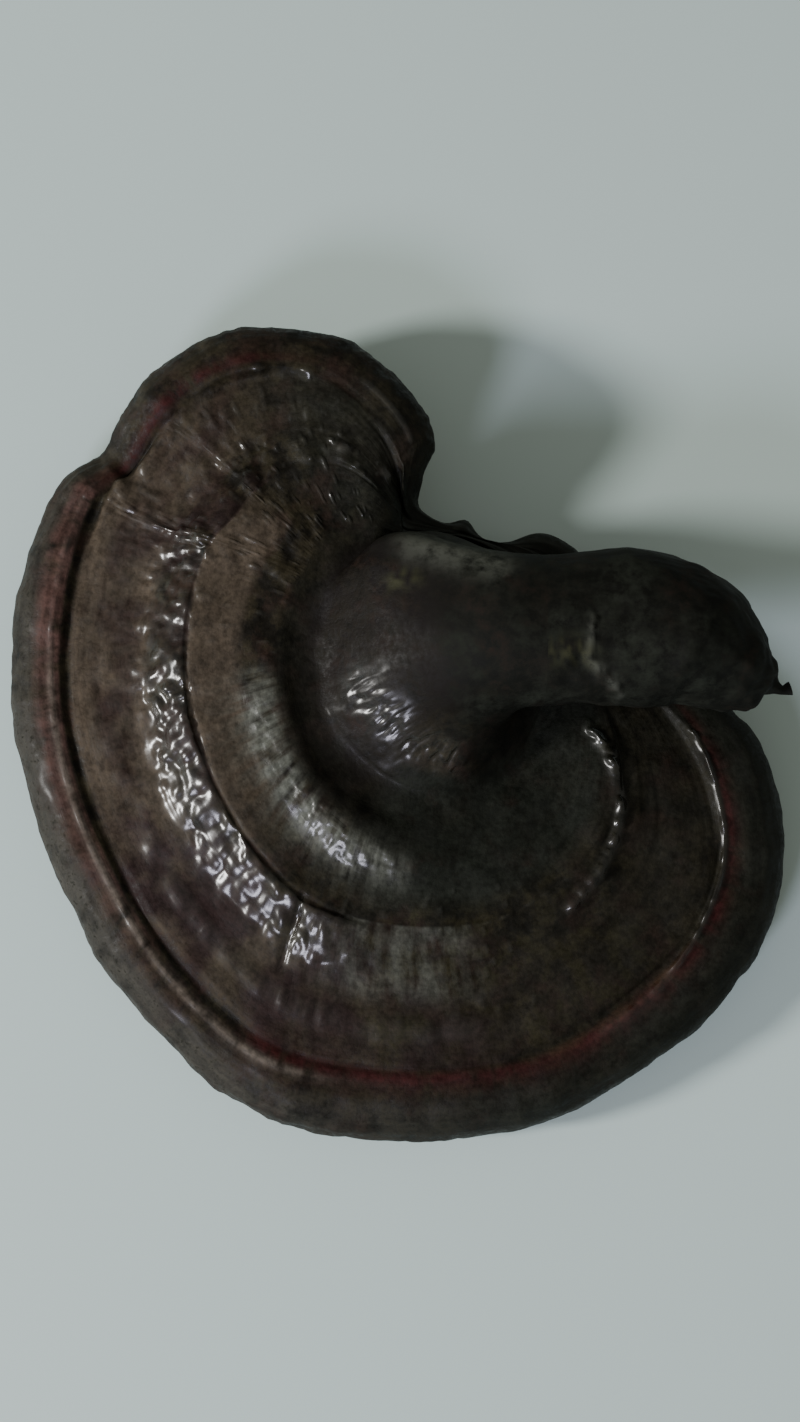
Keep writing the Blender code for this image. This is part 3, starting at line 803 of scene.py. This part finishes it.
# %% Colours of the umbo
BACK_PATCH = [(3.0, 21.6), (10.5, 18.7), (14.0, 17.6)]
YELLOW_SPOT = [(-0.5, 15.4), (2.0, 16.0)]
front = between_stations(7, 17, 2.5)
umbo_masks = {
    "umbo plum": 0.9 * region(("foot", "umbo 0.6"), 1.5, (5, 15), 2),
    "umbo dust": 0.9 * stroke(BACK_PATCH, 3.0, cap_rings) * above_foot,
    "moss": 0.6 * stroke(YELLOW_SPOT, 1.8, cap_rings) * above_foot * smooth(0.6 + 1.5 * crumple),
    "bark": smooth((level - KEY["foot"] + 0.5 - 3.0 * front) / 2.5) * (1 - 0.85 * shiny_flank),
}
print(len(umbo_masks), "masks on the umbo")

# %% Gloss and fine wrinkles
FOLD_END = [(-48.2, 37.0), (-45.6, 35.2)]
patches = unevenness(growth, (6, 6, 2.2), 12)
gloss_masks = {
    "gloss": (0.10 + 0.3 * patches) * (1 - above_foot)
    - 0.3 * region(("edge", "foot"), 0.5, (1.5, 8.4), 0.8)
    + 1.0 * glossy_band
    + 0.8 * ragged_band * smooth(0.6 + 2.0 * crinkle)
    + 1.3 * (lobe_crumple + 0.8 * fold_crumple) * smooth(8 * crumple - 4.2)
    - 0.4 * between_rings("groove wall", "terrace", 0.3)
    + 1.6 * shiny_flank
    + 1.4 * (lobe_line + rim_line + dot_line + lobe_rim_line)
    + 0.7 * lip_dots
    + 1.0 * ticks
    + 1.6 * lone_beads
    + 1.1 * left_line * beads
    + 0.8 * stroke(FOLD_END, 1.2, cap_rings) * smooth(4 * crumple)
    + 1.0 * sheen_ridge
    - 0.2 * between_rings("lip", "rim 0.36", 0.8),
    "crackle": 0.6 * glossy_band + 0.7 * ragged_band + 0.4 * (fold_crumple + shiny_flank) + 0.7 * sheen_ridge,
}
print("gloss reaches", gloss_masks["gloss"].max().round(2))

# %% Uneven masks
BLOTCH_SIZE = 6.0  # mm
BLOTCH_SHARE = 0.35
blotches = 1 + BLOTCH_SHARE * unevenness(cap_rings, BLOTCH_SIZE, 11)
masks = {
    name: np.clip(mask * blotches, 0, 1)
    for name, mask in (rim_masks | crust_masks | umbo_masks | gloss_masks).items()
}
for name, mask in masks.items():
    print(name, "covers", round(100 * float((mask > 0.5).mean())), "% of the skin")

# %% [markdown]
# ## The stem
# The stem is a thick, lumpy side branch with a blunt broken end and a little dried nub on it. It is
# lofted like the cap, on rings square to its centre line, and starts on the very ring where the umbo
# ends.

# %% The stem's centre line
# The centre line from the neck to the broken tip: x, y, z, half width, half height.
STEM_SECTIONS = [
    (22.0, 8.3, 24.0, 11.7, 10.4),
    (28.5, 8.8, 24.0, 11.6, 10.5),
    (35.0, 8.6, 23.9, 11.9, 10.9),
    (41.0, 8.0, 23.6, 11.7, 10.8),
    (45.6, 6.6, 23.3, 10.9, 10.3),
    (49.6, 4.1, 22.8, 8.6, 8.8),
    (53.7, 1.6, 22.2, 5.8, 6.6),
    (56.4, 0.6, 21.9, 3.4, 3.9),
    (57.7, 0.0, 21.8, 1.5, 1.7),
    (58.9, -0.6, 21.7, 0.9, 0.9),
    (60.2, -0.3, 21.6, 1.1, 0.9),
]


def along(rows, share):
    """A row of an open table, read smoothly at share, which runs from 0 to 1 along it."""
    rows = np.array(rows, float)
    padded = np.vstack([2 * rows[0] - rows[1], rows, 2 * rows[-1] - rows[-2]])
    place = share * (len(rows) - 1)
    first = min(int(place), len(rows) - 2)
    s = place - first
    a, b, c, d = padded[first : first + 4]
    return b + 0.5 * s * (c - a + s * (2 * a - 5 * b + 4 * c - d + s * (3 * (b - c) + d - a)))


print("halfway along, the stem is", (2 * along(STEM_SECTIONS, 0.5)[3:]).round(1), "mm thick")

# %% The stem's rings
NECK_SHARE = 0.13  # of the stem, over which its rings turn square to the centre line
LOOK = 0.02  # share of the stem, ahead and back, for its heading
STEM_LUMP = 0.03
STEM_POINTS = 216
STEM_STEPS = 130

stem_angle = 2 * np.pi * np.arange(STEM_POINTS) / STEM_POINTS
stem_share = np.linspace(0, 1, STEM_STEPS)
stem_rings = []
for share in stem_share:
    x, y, z, half_width, half_height = along(STEM_SECTIONS, share)
    heading_line = along(STEM_SECTIONS, min(share + LOOK, 1)) - along(STEM_SECTIONS, max(share - LOOK, 0))
    heading = math.atan2(heading_line[1], heading_line[0]) * smooth(share / NECK_SHARE)
    lump = 1 + STEM_LUMP * smooth(share / NECK_SHARE) * (
        np.sin(3 * stem_angle + 9 * share) + np.sin(2 * stem_angle - 15 * share + 1)
    )
    across = half_width * lump * np.sin(stem_angle)
    rise = half_height * lump * np.cos(stem_angle)
    stem_rings.append(
        np.column_stack([x - across * math.sin(heading), y + across * math.cos(heading), z - rise])
    )
stem_rings = np.array(stem_rings)
print("stem:", stem_rings.shape[0], "rings of", stem_rings.shape[1], "points")

# %% [markdown]
# ## Relief of the stem
# The skin wrinkles along and across the stem, its broken end is rough, and a scar runs over its top. Both
# pieces use the same lumps, read at the same places, so the skin runs on over the neck. The relief
# shrinks towards the little nub at the end, which would otherwise be swallowed by it.

# %% Wrinkles, scar and rough end
TIP_FROM = 0.48  # share of the stem
TIP_FADE = 0.25
NECK_FADE = 0.05
SCAR = [(28.9, 8.0), (28.2, 2.6), (30.6, 0.1), (33.1, -2.1)]
SCAR_HOLLOW = [(26.8, 1.8), (29.0, -1.2), (31.5, -3.4)]
SCAR_MOSS = [(23.3, 3.3), (25.7, 3.5), (27.6, 2.9)]
NUB_RELIEF = 0.15
NUB_FADE = 3.5

stem_top = stem_rings[..., 2] > NECK_CENTRE[2]
near_tip = smooth((stem_share[:, None] - TIP_FROM) / TIP_FADE)
off_neck = smooth(stem_share[:, None] / NECK_FADE)
stem_relief = 0.10 * unevenness(stem_rings, (5, 0.9, 0.9), 21) + 0.22 * unevenness(stem_rings, 3.0, 23)
stem_relief += 0.50 * near_tip * unevenness(stem_rings, 1.9, 22)
stem_relief += 0.35 * (stroke(SCAR, 0.55, stem_rings) - stroke(SCAR_HOLLOW, 1.0, stem_rings)) * stem_top
stem_relief *= off_neck
stem_relief += lumps_at(stem_rings)
stem_relief *= np.minimum(1, (1 - stem_share[:, None]) * NUB_FADE + NUB_RELIEF)
print("stem relief", stem_relief.min().round(2), "to", stem_relief.max().round(2), "mm")

# %% The stem's surface
away_from_line = stem_rings - stem_rings.mean(1)[:, None]
away_from_line[..., 0] = 0
away_from_line /= np.linalg.norm(away_from_line, axis=2)[..., None]
stem_normals = blend(away_from_line, normals(stem_rings), off_neck[..., None])
stem_surface = stem_rings + stem_normals * stem_relief[..., None]
print("the stem is", np.ptp(stem_surface.reshape(-1, 3), axis=0).round(1), "mm")

# %% [markdown]
# ## Building materials from nodes
# Every finish here is worked out by nodes from a place on the piece or from a mask on its points. A few
# helpers keep that short: one adds a node and sets it, one joins sockets, and one mixes two colours by a
# mask.

# %% Node helpers
def add_node(tree, kind, inputs=None, **settings):
    """A new node with its settings. Inputs are values, or sockets to join."""
    made = tree.nodes.new(kind)
    for name, value in settings.items():
        setattr(made, name, value)
    for name, value in (inputs or {}).items():
        if isinstance(value, bpy.types.NodeSocket):
            tree.links.new(value, made.inputs[name])
        else:
            made.inputs[name].default_value = value
    return made


def mix_colour(tree, mask, low, high, kind="MIX"):
    """The low colour where the mask is 0 and the high one where it is 1."""
    mix = add_node(tree, "ShaderNodeMix", data_type="RGBA", blend_type=kind)
    for socket, value in ((mix.inputs[0], mask), (mix.inputs[6], low), (mix.inputs[7], high)):
        if isinstance(value, bpy.types.NodeSocket):
            tree.links.new(value, socket)
        else:
            socket.default_value = (*value, 1) if isinstance(value, tuple) else value
    return mix.outputs[2]


def maths(tree, kind, first, second):
    return add_node(tree, "ShaderNodeMath", {0: first, 1: second}, operation=kind).outputs[0]


def stretch(tree, value, low, high, to_low=0.0, to_high=1.0):
    """A value spread from one range to another, and kept inside it."""
    inputs = {"Value": value, "From Min": low, "From Max": high, "To Min": to_low, "To Max": to_high}
    return add_node(tree, "ShaderNodeMapRange", inputs).outputs[0]


print("node helpers ready")


# %% Patterns, masks and bumps
def noise_at(tree, place, size, detail, roughness=0.55):
    """Noise whose lumps are about this many millimetres."""
    inputs = {"Vector": place, "Scale": 1 / (size * MM), "Detail": detail, "Roughness": roughness}
    return add_node(tree, "ShaderNodeTexNoise", inputs).outputs["Fac"]


def stretched(tree, place, factors):
    """The place times these factors, so that a pattern on it gets longer where a factor is small."""
    return add_node(tree, "ShaderNodeVectorMath", {0: place, 1: factors}, operation="MULTIPLY").outputs[0]


def mask_of(tree, name):
    return add_node(tree, "ShaderNodeAttribute", attribute_name=name).outputs["Fac"]


def lay_over(tree, colour, layers):
    """Lays tints over a colour. A layer: mask, noise to break it up, where that starts, where full, tint."""
    for name, breaks, low, high, tint in layers:
        mask = maths(tree, "MULTIPLY", mask_of(tree, name), stretch(tree, breaks, low, high))
        colour = mix_colour(tree, mask, colour, tint)
    return colour


def add_bump(tree, shader, height, strength, depth):
    """Fine relief that only the light sees. Depth is in mm."""
    inputs = {"Height": height, "Strength": strength, "Distance": depth * MM}
    tree.links.new(add_node(tree, "ShaderNodeBump", inputs).outputs[0], shader.inputs["Normal"])


print("pattern helpers ready")


# %% Groups and materials
def new_group(name, inputs, outputs):
    """An empty node group with named sockets, and its two end nodes."""
    group = bpy.data.node_groups.new(name, "ShaderNodeTree")
    for socket, kind in inputs:
        group.interface.new_socket(socket, in_out="INPUT", socket_type=kind)
    for socket, kind in outputs:
        group.interface.new_socket(socket, in_out="OUTPUT", socket_type=kind)
    return group, group.nodes.new("NodeGroupInput"), group.nodes.new("NodeGroupOutput")


def use_group(tree, group, inputs):
    """Places a group in a material and gives its outputs."""
    return add_node(tree, "ShaderNodeGroup", inputs, node_tree=group).outputs


def new_material(name, roughness, specular):
    """A material with its shader, whose specular level is the same all over."""
    material = bpy.data.materials.new(name)
    material.use_nodes = True
    shader = material.node_tree.nodes["Principled BSDF"]
    shader.inputs["Roughness"].default_value = roughness
    shader.inputs["Specular IOR Level"].default_value = specular
    return material, material.node_tree, shader


print("material helpers ready")

# %% [markdown]
# ## The bark of umbo and stem
# The umbo and the stem are nearly black, with a dry bloom of grey green where dust and spores stay in the
# pores, and brown where they are rubbed. Both pieces show it and meet at the neck, so it is one group
# that reads the place on the object, and the bark runs over the neck with no seam.

# %% Bark group
SKIN_SPECULAR = 0.12
SKIN_BUMP_STRENGTH = 0.6
SKIN_BUMP_DEPTH = 0.25  # mm
BARK_BLACK = (0.0040, 0.0042, 0.0029)
BARK_OLIVE = (0.0088, 0.0094, 0.0064)
BARK_BLOOM = (0.019, 0.022, 0.016)
BARK_BROWN = (0.017, 0.010, 0.0075)


def make_bark_group():
    group, given, result = new_group(
        "bark",
        [("Place", "NodeSocketVector")],
        [("Color", "NodeSocketColor"), ("Roughness", "NodeSocketFloat"), ("Height", "NodeSocketFloat")],
    )
    place = given.outputs["Place"]
    broad = noise_at(group, place, 10, 4, 0.6)
    fine = noise_at(group, place, 2.6, 5, 0.7)
    grain = noise_at(group, stretched(group, place, (0.5, 1, 1)), 0.55, 4, 0.6)
    bloom = maths(group, "MULTIPLY", stretch(group, broad, 0.44, 0.68), stretch(group, fine, 0.42, 0.66))
    rubbed = maths(group, "MULTIPLY", stretch(group, broad, 0.52, 0.36), stretch(group, fine, 0.45, 0.7))
    colour = mix_colour(group, stretch(group, fine, 0.35, 0.65), BARK_BLACK, BARK_OLIVE)
    colour = mix_colour(group, bloom, colour, BARK_BLOOM)
    colour = mix_colour(group, rubbed, colour, BARK_BROWN)
    group.links.new(colour, result.inputs["Color"])
    dry = stretch(group, fine, 0.3, 0.7, 0.64, 0.80)
    rough = maths(group, "ADD", dry, maths(group, "MULTIPLY", bloom, 0.15))
    group.links.new(rough, result.inputs["Roughness"])
    height = maths(group, "ADD", maths(group, "MULTIPLY", fine, 0.6), maths(group, "MULTIPLY", grain, 0.4))
    group.links.new(height, result.inputs["Height"])
    return group


bark = make_bark_group()
print("bark group has", len(bark.nodes), "nodes")

# %% [markdown]
# ## Wrinkled lacquer
# The lacquer is a hard shiny resin. As it dried it drew into fine wrinkles across the growth lines, with
# the growth lines crossing them, so a light breaks up on it into short ticks. The group mixes noise
# stretched both ways in growth space.

# %% Wrinkle group
WRINKLE_SIZE = 1.15  # mm


def make_wrinkle_group():
    group, given, result = new_group(
        "wrinkles",
        [("Growth", "NodeSocketVector")],
        [("Cells", "NodeSocketFloat"), ("Across", "NodeSocketFloat"), ("Lines", "NodeSocketFloat")],
    )
    place = given.outputs["Growth"]
    inputs = {"Vector": stretched(group, place, (1, 1, 0.62)), "Scale": 1 / (WRINKLE_SIZE * MM)}
    cells = add_node(group, "ShaderNodeTexVoronoi", inputs, feature="SMOOTH_F1").outputs["Distance"]
    across = noise_at(group, stretched(group, place, (1, 1, 0.3)), 0.95, 3)
    lines = noise_at(group, stretched(group, place, (0.08, 0.08, 1)), 0.5, 3)
    group.links.new(stretch(group, cells, 0, 0.8, 1, 0), result.inputs["Cells"])
    group.links.new(across, result.inputs["Across"])
    group.links.new(lines, result.inputs["Lines"])
    return group


wrinkles = make_wrinkle_group()
print("wrinkle group has", len(wrinkles.nodes), "nodes")

# %% [markdown]
# ## The crust
# The crust's colours lie over each other by their masks: olive brown under all, tan zones, darker troughs,
# the oxblood band and the pink crest, the grey green wall, and the bark where the umbo rises. Tan, pink and
# the pale wall are painted lighter where they face the window. The troughs, the notch and the side turned
# from the window are painted darker, and the mid ridge carries a painted sheen: painted light and painted
# shade over the crust's own colours.

# %% Tints of the crust
OLIVE_BROWN = (0.023, 0.0186, 0.0096)
DARK_BROWN = (0.0062, 0.0050, 0.0030)
TAN = (0.059, 0.045, 0.031)
OLIVE_YELLOW = (0.026, 0.022, 0.009)
PLUM = (0.020, 0.0105, 0.0098)
DARK_OLIVE = (0.0074, 0.0077, 0.0050)
GREY_GREEN = (0.0115, 0.0132, 0.0095)
OXBLOOD = (0.030, 0.0068, 0.0062)
PINK_WITH_PAINTED_LIGHT = (0.080, 0.042, 0.035)
WALL_GREY = (0.040, 0.037, 0.030)
RUST = (0.045, 0.024, 0.012)
UMBO_PLUM = (0.0062, 0.0046, 0.0040)
REDDISH = (0.0230, 0.0125, 0.0085)
BEIGE = (0.098, 0.080, 0.064)
PALE_GREY_GREEN = (0.086, 0.090, 0.074)
MOSS = (0.038, 0.039, 0.018)
print("tints reflect", round(100 * UMBO_PLUM[0], 1), "to", round(100 * BEIGE[0], 1), "% of red light")


# %% Colour of the crust
def crust_colour(tree, place, growth_place, blotch, speck):
    """The colour of the crust outside the umbo."""
    broad = noise_at(tree, place, 9, 3)
    mottle = noise_at(tree, stretched(tree, growth_place, (0.35, 0.35, 1)), 1.5, 4, 0.65)
    streak = noise_at(tree, stretched(tree, growth_place, (1, 1, 0.3)), 1.8, 3)
    colour = mix_colour(tree, stretch(tree, blotch, 0.42, 0.58), DARK_BROWN, OLIVE_BROWN)
    ruddy = noise_at(tree, stretched(tree, place, (1, 1, 0.4)), 6.5, 4, 0.6)
    colour = mix_colour(tree, stretch(tree, ruddy, 0.50, 0.62, 0, 0.8), colour, REDDISH)
    # The tan, pink, pale and beige layers carry painted light, the dark and grey green layers painted shade,
    # and the dust layer a painted sheen.
    layers = [
        ("tan", blotch, 0.15, 0.48, TAN),
        ("olive", blotch, 0.50, 0.62, OLIVE_YELLOW),
        ("plum", broad, 0.40, 0.58, PLUM),
        ("dark", blotch, 0.05, 0.50, DARK_OLIVE),
        ("grey green", blotch, 0.20, 0.50, GREY_GREEN),
        ("red", streak, 0.28, 0.50, OXBLOOD),
        ("pink", streak, 0.30, 0.55, PINK_WITH_PAINTED_LIGHT),
        ("pale", blotch, 0.25, 0.50, WALL_GREY),
        ("pale", speck, 0.56, 0.68, DARK_OLIVE),
        ("beige", streak, 0.30, 0.50, BEIGE),
        ("rust", blotch, 0.35, 0.55, RUST),
        ("dust", streak, 0.36, 0.62, PALE_GREY_GREEN),
    ]
    colour = lay_over(tree, colour, layers)
    light_specks = stretch(tree, speck, 0.35, 0.65, 0.70, 1.2)
    shade = maths(tree, "MULTIPLY", light_specks, stretch(tree, mottle, 0.3, 0.7, 0.7, 1.3))
    return mix_colour(tree, 1.0, colour, shade, "MULTIPLY")


print("crust colours ready")


# %% Fine relief of the crust
def crust_height(tree, wrinkle_parts, speck, bark_mask, bark_height):
    """The height that goes to the bump: wrinkled lacquer and specks on the crust, grain on the bark."""
    crackle = mask_of(tree, "crackle")
    cells = maths(tree, "MULTIPLY", wrinkle_parts["Cells"], crackle)
    across = maths(tree, "MULTIPLY", wrinkle_parts["Across"], maths(tree, "MULTIPLY", crackle, 0.6))
    lines = maths(tree, "MULTIPLY", wrinkle_parts["Lines"], 0.3)
    height = maths(tree, "ADD", maths(tree, "ADD", cells, across), lines)
    height = maths(tree, "ADD", height, maths(tree, "MULTIPLY", speck, 0.7))
    height = maths(tree, "MULTIPLY", height, stretch(tree, bark_mask, 0, 1, 1, 0))
    return maths(tree, "ADD", height, maths(tree, "MULTIPLY", bark_height, 0.5))


print("crust relief ready")


# %% Crust material
LACQUER_COAT_ROUGHNESS = 0.23


def make_crust():
    material, tree, shader = new_material("lacquered_crust", 0.5, SKIN_SPECULAR)
    place = add_node(tree, "ShaderNodeTexCoord").outputs["Object"]
    growth_place = add_node(tree, "ShaderNodeAttribute", attribute_name="growth").outputs["Vector"]
    bark_parts = use_group(tree, bark, {"Place": place})
    wrinkle_parts = use_group(tree, wrinkles, {"Growth": growth_place})
    blotch = noise_at(tree, place, 4, 5, 0.65)
    speck = noise_at(tree, place, 0.9, 4, 0.6)
    bark_mask = mask_of(tree, "bark")
    colour = crust_colour(tree, place, growth_place, blotch, speck)
    colour = mix_colour(tree, bark_mask, colour, bark_parts["Color"])
    umbo_tints = (("umbo plum", UMBO_PLUM), ("umbo dust", PALE_GREY_GREEN), ("moss", MOSS))
    colour = lay_over(tree, colour, [(name, blotch, 0.34, 0.56, tint) for name, tint in umbo_tints])
    tree.links.new(colour, shader.inputs["Base Color"])
    rough = maths(tree, "ADD", stretch(tree, mask_of(tree, "dust"), 0, 1, 0.58, 0.44), speck)
    rough = maths(tree, "SUBTRACT", rough, 0.5)
    coat = maths(tree, "MULTIPLY", mask_of(tree, "gloss"), stretch(tree, blotch, 0.35, 0.50, 0.5, 1))
    tree.links.new(coat, shader.inputs["Coat Weight"])
    shader.inputs["Coat Roughness"].default_value = LACQUER_COAT_ROUGHNESS
    rough_mix = add_node(tree, "ShaderNodeMix", data_type="FLOAT")
    for socket, value in ((0, bark_mask), (2, rough), (3, bark_parts["Roughness"])):
        tree.links.new(value, rough_mix.inputs[socket])
    tree.links.new(rough_mix.outputs[0], shader.inputs["Roughness"])
    height = crust_height(tree, wrinkle_parts, speck, bark_mask, bark_parts["Height"])
    add_bump(tree, shader, height, SKIN_BUMP_STRENGTH, SKIN_BUMP_DEPTH)
    return material


crust_material = make_crust()
print("crust has", len(crust_material.node_tree.nodes), "nodes")

# %% [markdown]
# ## The pore face
# Under the cap the spores fall from a flat face of fine pores, dull tan brown and bruised darker. Real
# holes would need far more faces than they are worth, so round cells give each pore a dent and a dark
# middle, which is painted shade for the hole. The face lies on the table and is finished all the same.

# %% Pore material
PORE_SIZE = 0.35  # mm
PORE_TAN = (0.30, 0.22, 0.13)
PORE_BRUISE = (0.16, 0.10, 0.055)
# The hollow colour is painted shade: the dark middle of each pore stands in for the shade down its hole.
PORE_HOLLOW = (0.05, 0.03, 0.017)


def make_pore_face():
    material, tree, shader = new_material("pore_face", 0.85, 0.3)
    place = add_node(tree, "ShaderNodeTexCoord").outputs["Object"]
    inputs = {"Vector": place, "Scale": 1 / (PORE_SIZE * MM)}
    cells = add_node(tree, "ShaderNodeTexVoronoi", inputs).outputs["Distance"]
    bruise = noise_at(tree, place, 16, 4, 0.6)
    colour = mix_colour(tree, stretch(tree, bruise, 0.35, 0.65), PORE_BRUISE, PORE_TAN)
    colour = mix_colour(tree, stretch(tree, cells, 0.1, 0.5), PORE_HOLLOW, colour)
    tree.links.new(colour, shader.inputs["Base Color"])
    add_bump(tree, shader, cells, 0.5, 0.15)
    return material


pore_material = make_pore_face()
print("pore face has", len(pore_material.node_tree.nodes), "nodes")

# %% [markdown]
# ## The cap
# The crust ends where the rim turns under, and the pores start there. Both finishes could be mixed in one
# material, but a material for each face is plainer. Growth space already says how far a face is from the
# margin, so all that lies further under than the lip gets the pores.

# %% The cap's mesh
CRUST, PORES = 0, 1
NECK_END_ABOVE = 5 * MM
cap_bm = spin_skin(place_on_solids(cap_surface), masks, growth)
growth_layer = cap_bm.verts.layers.float_vector["growth"]
lip_depth = depth[np.searchsorted(level[:, 0], KEY["lip"]), 0] * MM
for face in cap_bm.faces:
    under = max(vert[growth_layer][2] for vert in face.verts) < lip_depth
    face.material_index = PORES if under else CRUST
for face in close_ends(cap_bm):
    face.material_index = CRUST if face.calc_center_median().z > NECK_END_ABOVE else PORES
cap_piece = finish_piece("reishi_cap", cap_bm, [crust_material, pore_material])

# %% [markdown]
# ## The finished stem
# The stem wears the same bark as the umbo. Only its scar differs, where the skin healed over pale and
# patchy with a touch of moss, so two more masks lay tints over the bark there, broken up by noise on the
# points and in the material.

# %% Stem material
def make_stem_bark():
    material, tree, shader = new_material("stem_bark", 0.6, SKIN_SPECULAR)
    place = add_node(tree, "ShaderNodeTexCoord").outputs["Object"]
    bark_parts = use_group(tree, bark, {"Place": place})
    blotch = noise_at(tree, place, 2.0, 4, 0.65)
    layers = [("scar", blotch, 0.30, 0.50, PALE_GREY_GREEN), ("moss", blotch, 0.30, 0.50, MOSS)]
    tree.links.new(lay_over(tree, bark_parts["Color"], layers), shader.inputs["Base Color"])
    tree.links.new(bark_parts["Roughness"], shader.inputs["Roughness"])
    height = maths(tree, "MULTIPLY", bark_parts["Height"], 0.5)
    add_bump(tree, shader, height, SKIN_BUMP_STRENGTH, SKIN_BUMP_DEPTH)
    return material


stem_material = make_stem_bark()
print("stem bark has", len(stem_material.node_tree.nodes), "nodes")

# %% The stem's mesh
worn = smooth(0.55 + 1.5 * unevenness(stem_rings, (0.9, 1.6, 1.6), 24)) * stem_top
stem_masks = {
    "scar": 0.55 * stroke(SCAR, 0.9, stem_rings) * worn,
    "moss": 0.75 * stroke(SCAR_MOSS, 1.7, stem_rings) * worn,
}
stem_bm = spin_skin(place_on_solids(stem_surface), stem_masks)
close_ends(stem_bm)
stem_piece = finish_piece("reishi_stem", stem_bm, [stem_material])

# %% [markdown]
# ## Standing in for the solids
# Each piece rides on the one body that there is and stands for its own solid, which is hidden.

# %% Pieces and solids
for piece, node_name, slot_name in ((cap_piece, "cap", "cap_crust"), (stem_piece, "stem", "stem_crust")):
    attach(piece, "root")
    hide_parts(node_name)
    print(piece.name, "stands for", node_name)

# %% [markdown]
# ## The table
# The mushroom lies on a plain pale table, which takes its shadow. One square far larger than the picture
# is enough. It is stage, not part of the object.

# %% Table
TABLE_SIZE = 2.4
TABLE_COLOUR = (0.575, 0.70, 0.675)
table_bm = bmesh.new()
bmesh.ops.create_grid(table_bm, x_segments=1, y_segments=1, size=TABLE_SIZE / 2)
table_mesh = bpy.data.meshes.new("table")
table_bm.to_mesh(table_mesh)
table_bm.free()
table_material, _, table_shader = new_material("table", 0.6, 0.3)
table_shader.inputs["Base Color"].default_value = (*TABLE_COLOUR, 1)
table_mesh.materials.append(table_material)
table = bpy.data.objects.new("table", table_mesh)
bpy.context.scene.collection.objects.link(table)
print("table", TABLE_SIZE, "m")

# %% [markdown]
# ## Light
# Two windows give two soft shadows: a warm white one low on the left, and a bluer, weaker one towards the
# front. Round area lights keep the shadow's edge soft, and a dim even room fills in from all sides.

# %% Light
WINDOW_DISTANCE = 1.2
WINDOWS = [  # name, direction, size in metres, power in watts, colour
    ("window", (-0.985, -0.17, 0.51), 0.19, 14.8, (1.0, 0.99, 0.97)),
    ("second window", (-0.457, -0.684, 0.570), 0.30, 8.0, (0.84, 0.84, 1.0)),
]
ROOM_COLOUR = (1.0, 1.0, 0.90, 1)
ROOM_STRENGTH = 0.265


def area_light(name, direction, size, power, colour):
    """A round light in that direction, facing the origin."""
    light = bpy.data.lights.new(name, "AREA")
    light.shape = "DISK"
    light.size = size
    light.energy = power
    light.color = colour
    lamp = bpy.data.objects.new(name, light)
    towards = Vector(direction).normalized()
    lamp.location = towards * WINDOW_DISTANCE
    lamp.rotation_euler = towards.to_track_quat("Z", "Y").to_euler()
    bpy.context.scene.collection.objects.link(lamp)


for window in WINDOWS:
    area_light(*window)
world = bpy.data.worlds.new("room")
bpy.context.scene.world = world
world.use_nodes = True
room_light = world.node_tree.nodes["Background"]
room_light.inputs["Color"].default_value = ROOM_COLOUR
room_light.inputs["Strength"].default_value = ROOM_STRENGTH
print(len(WINDOWS), "windows and the room")

# %% [markdown]
# ## Camera
# The camera looks down on the mushroom from ten degrees off the vertical, from the front. It aims at the
# zero of the tables. An ordinary lens a third of a metre away gives the perspective of a picture taken by
# hand.

# %% Camera
CAMERA_ELEVATION = 80  # degrees
CAMERA_DISTANCE = 0.325875  # metres
LENS = 50
SENSOR_WIDTH = 36
NEAREST_SEEN = 0.01
camera_data = bpy.data.cameras.new("camera")
camera_data.lens = LENS
camera_data.sensor_width = SENSOR_WIDTH
camera = bpy.data.objects.new("camera", camera_data)
tilt = math.radians(CAMERA_ELEVATION)
target = Vector(place_on_solids(np.zeros(3)) * MM)
camera.location = target + Vector((0, -math.cos(tilt), math.sin(tilt))) * CAMERA_DISTANCE
camera.rotation_euler = (math.radians(90) - tilt, 0, 0)
camera_data.clip_start = NEAREST_SEEN
bpy.context.scene.collection.objects.link(camera)
bpy.context.scene.camera = camera
print("camera at", [round(value, 3) for value in camera.location])
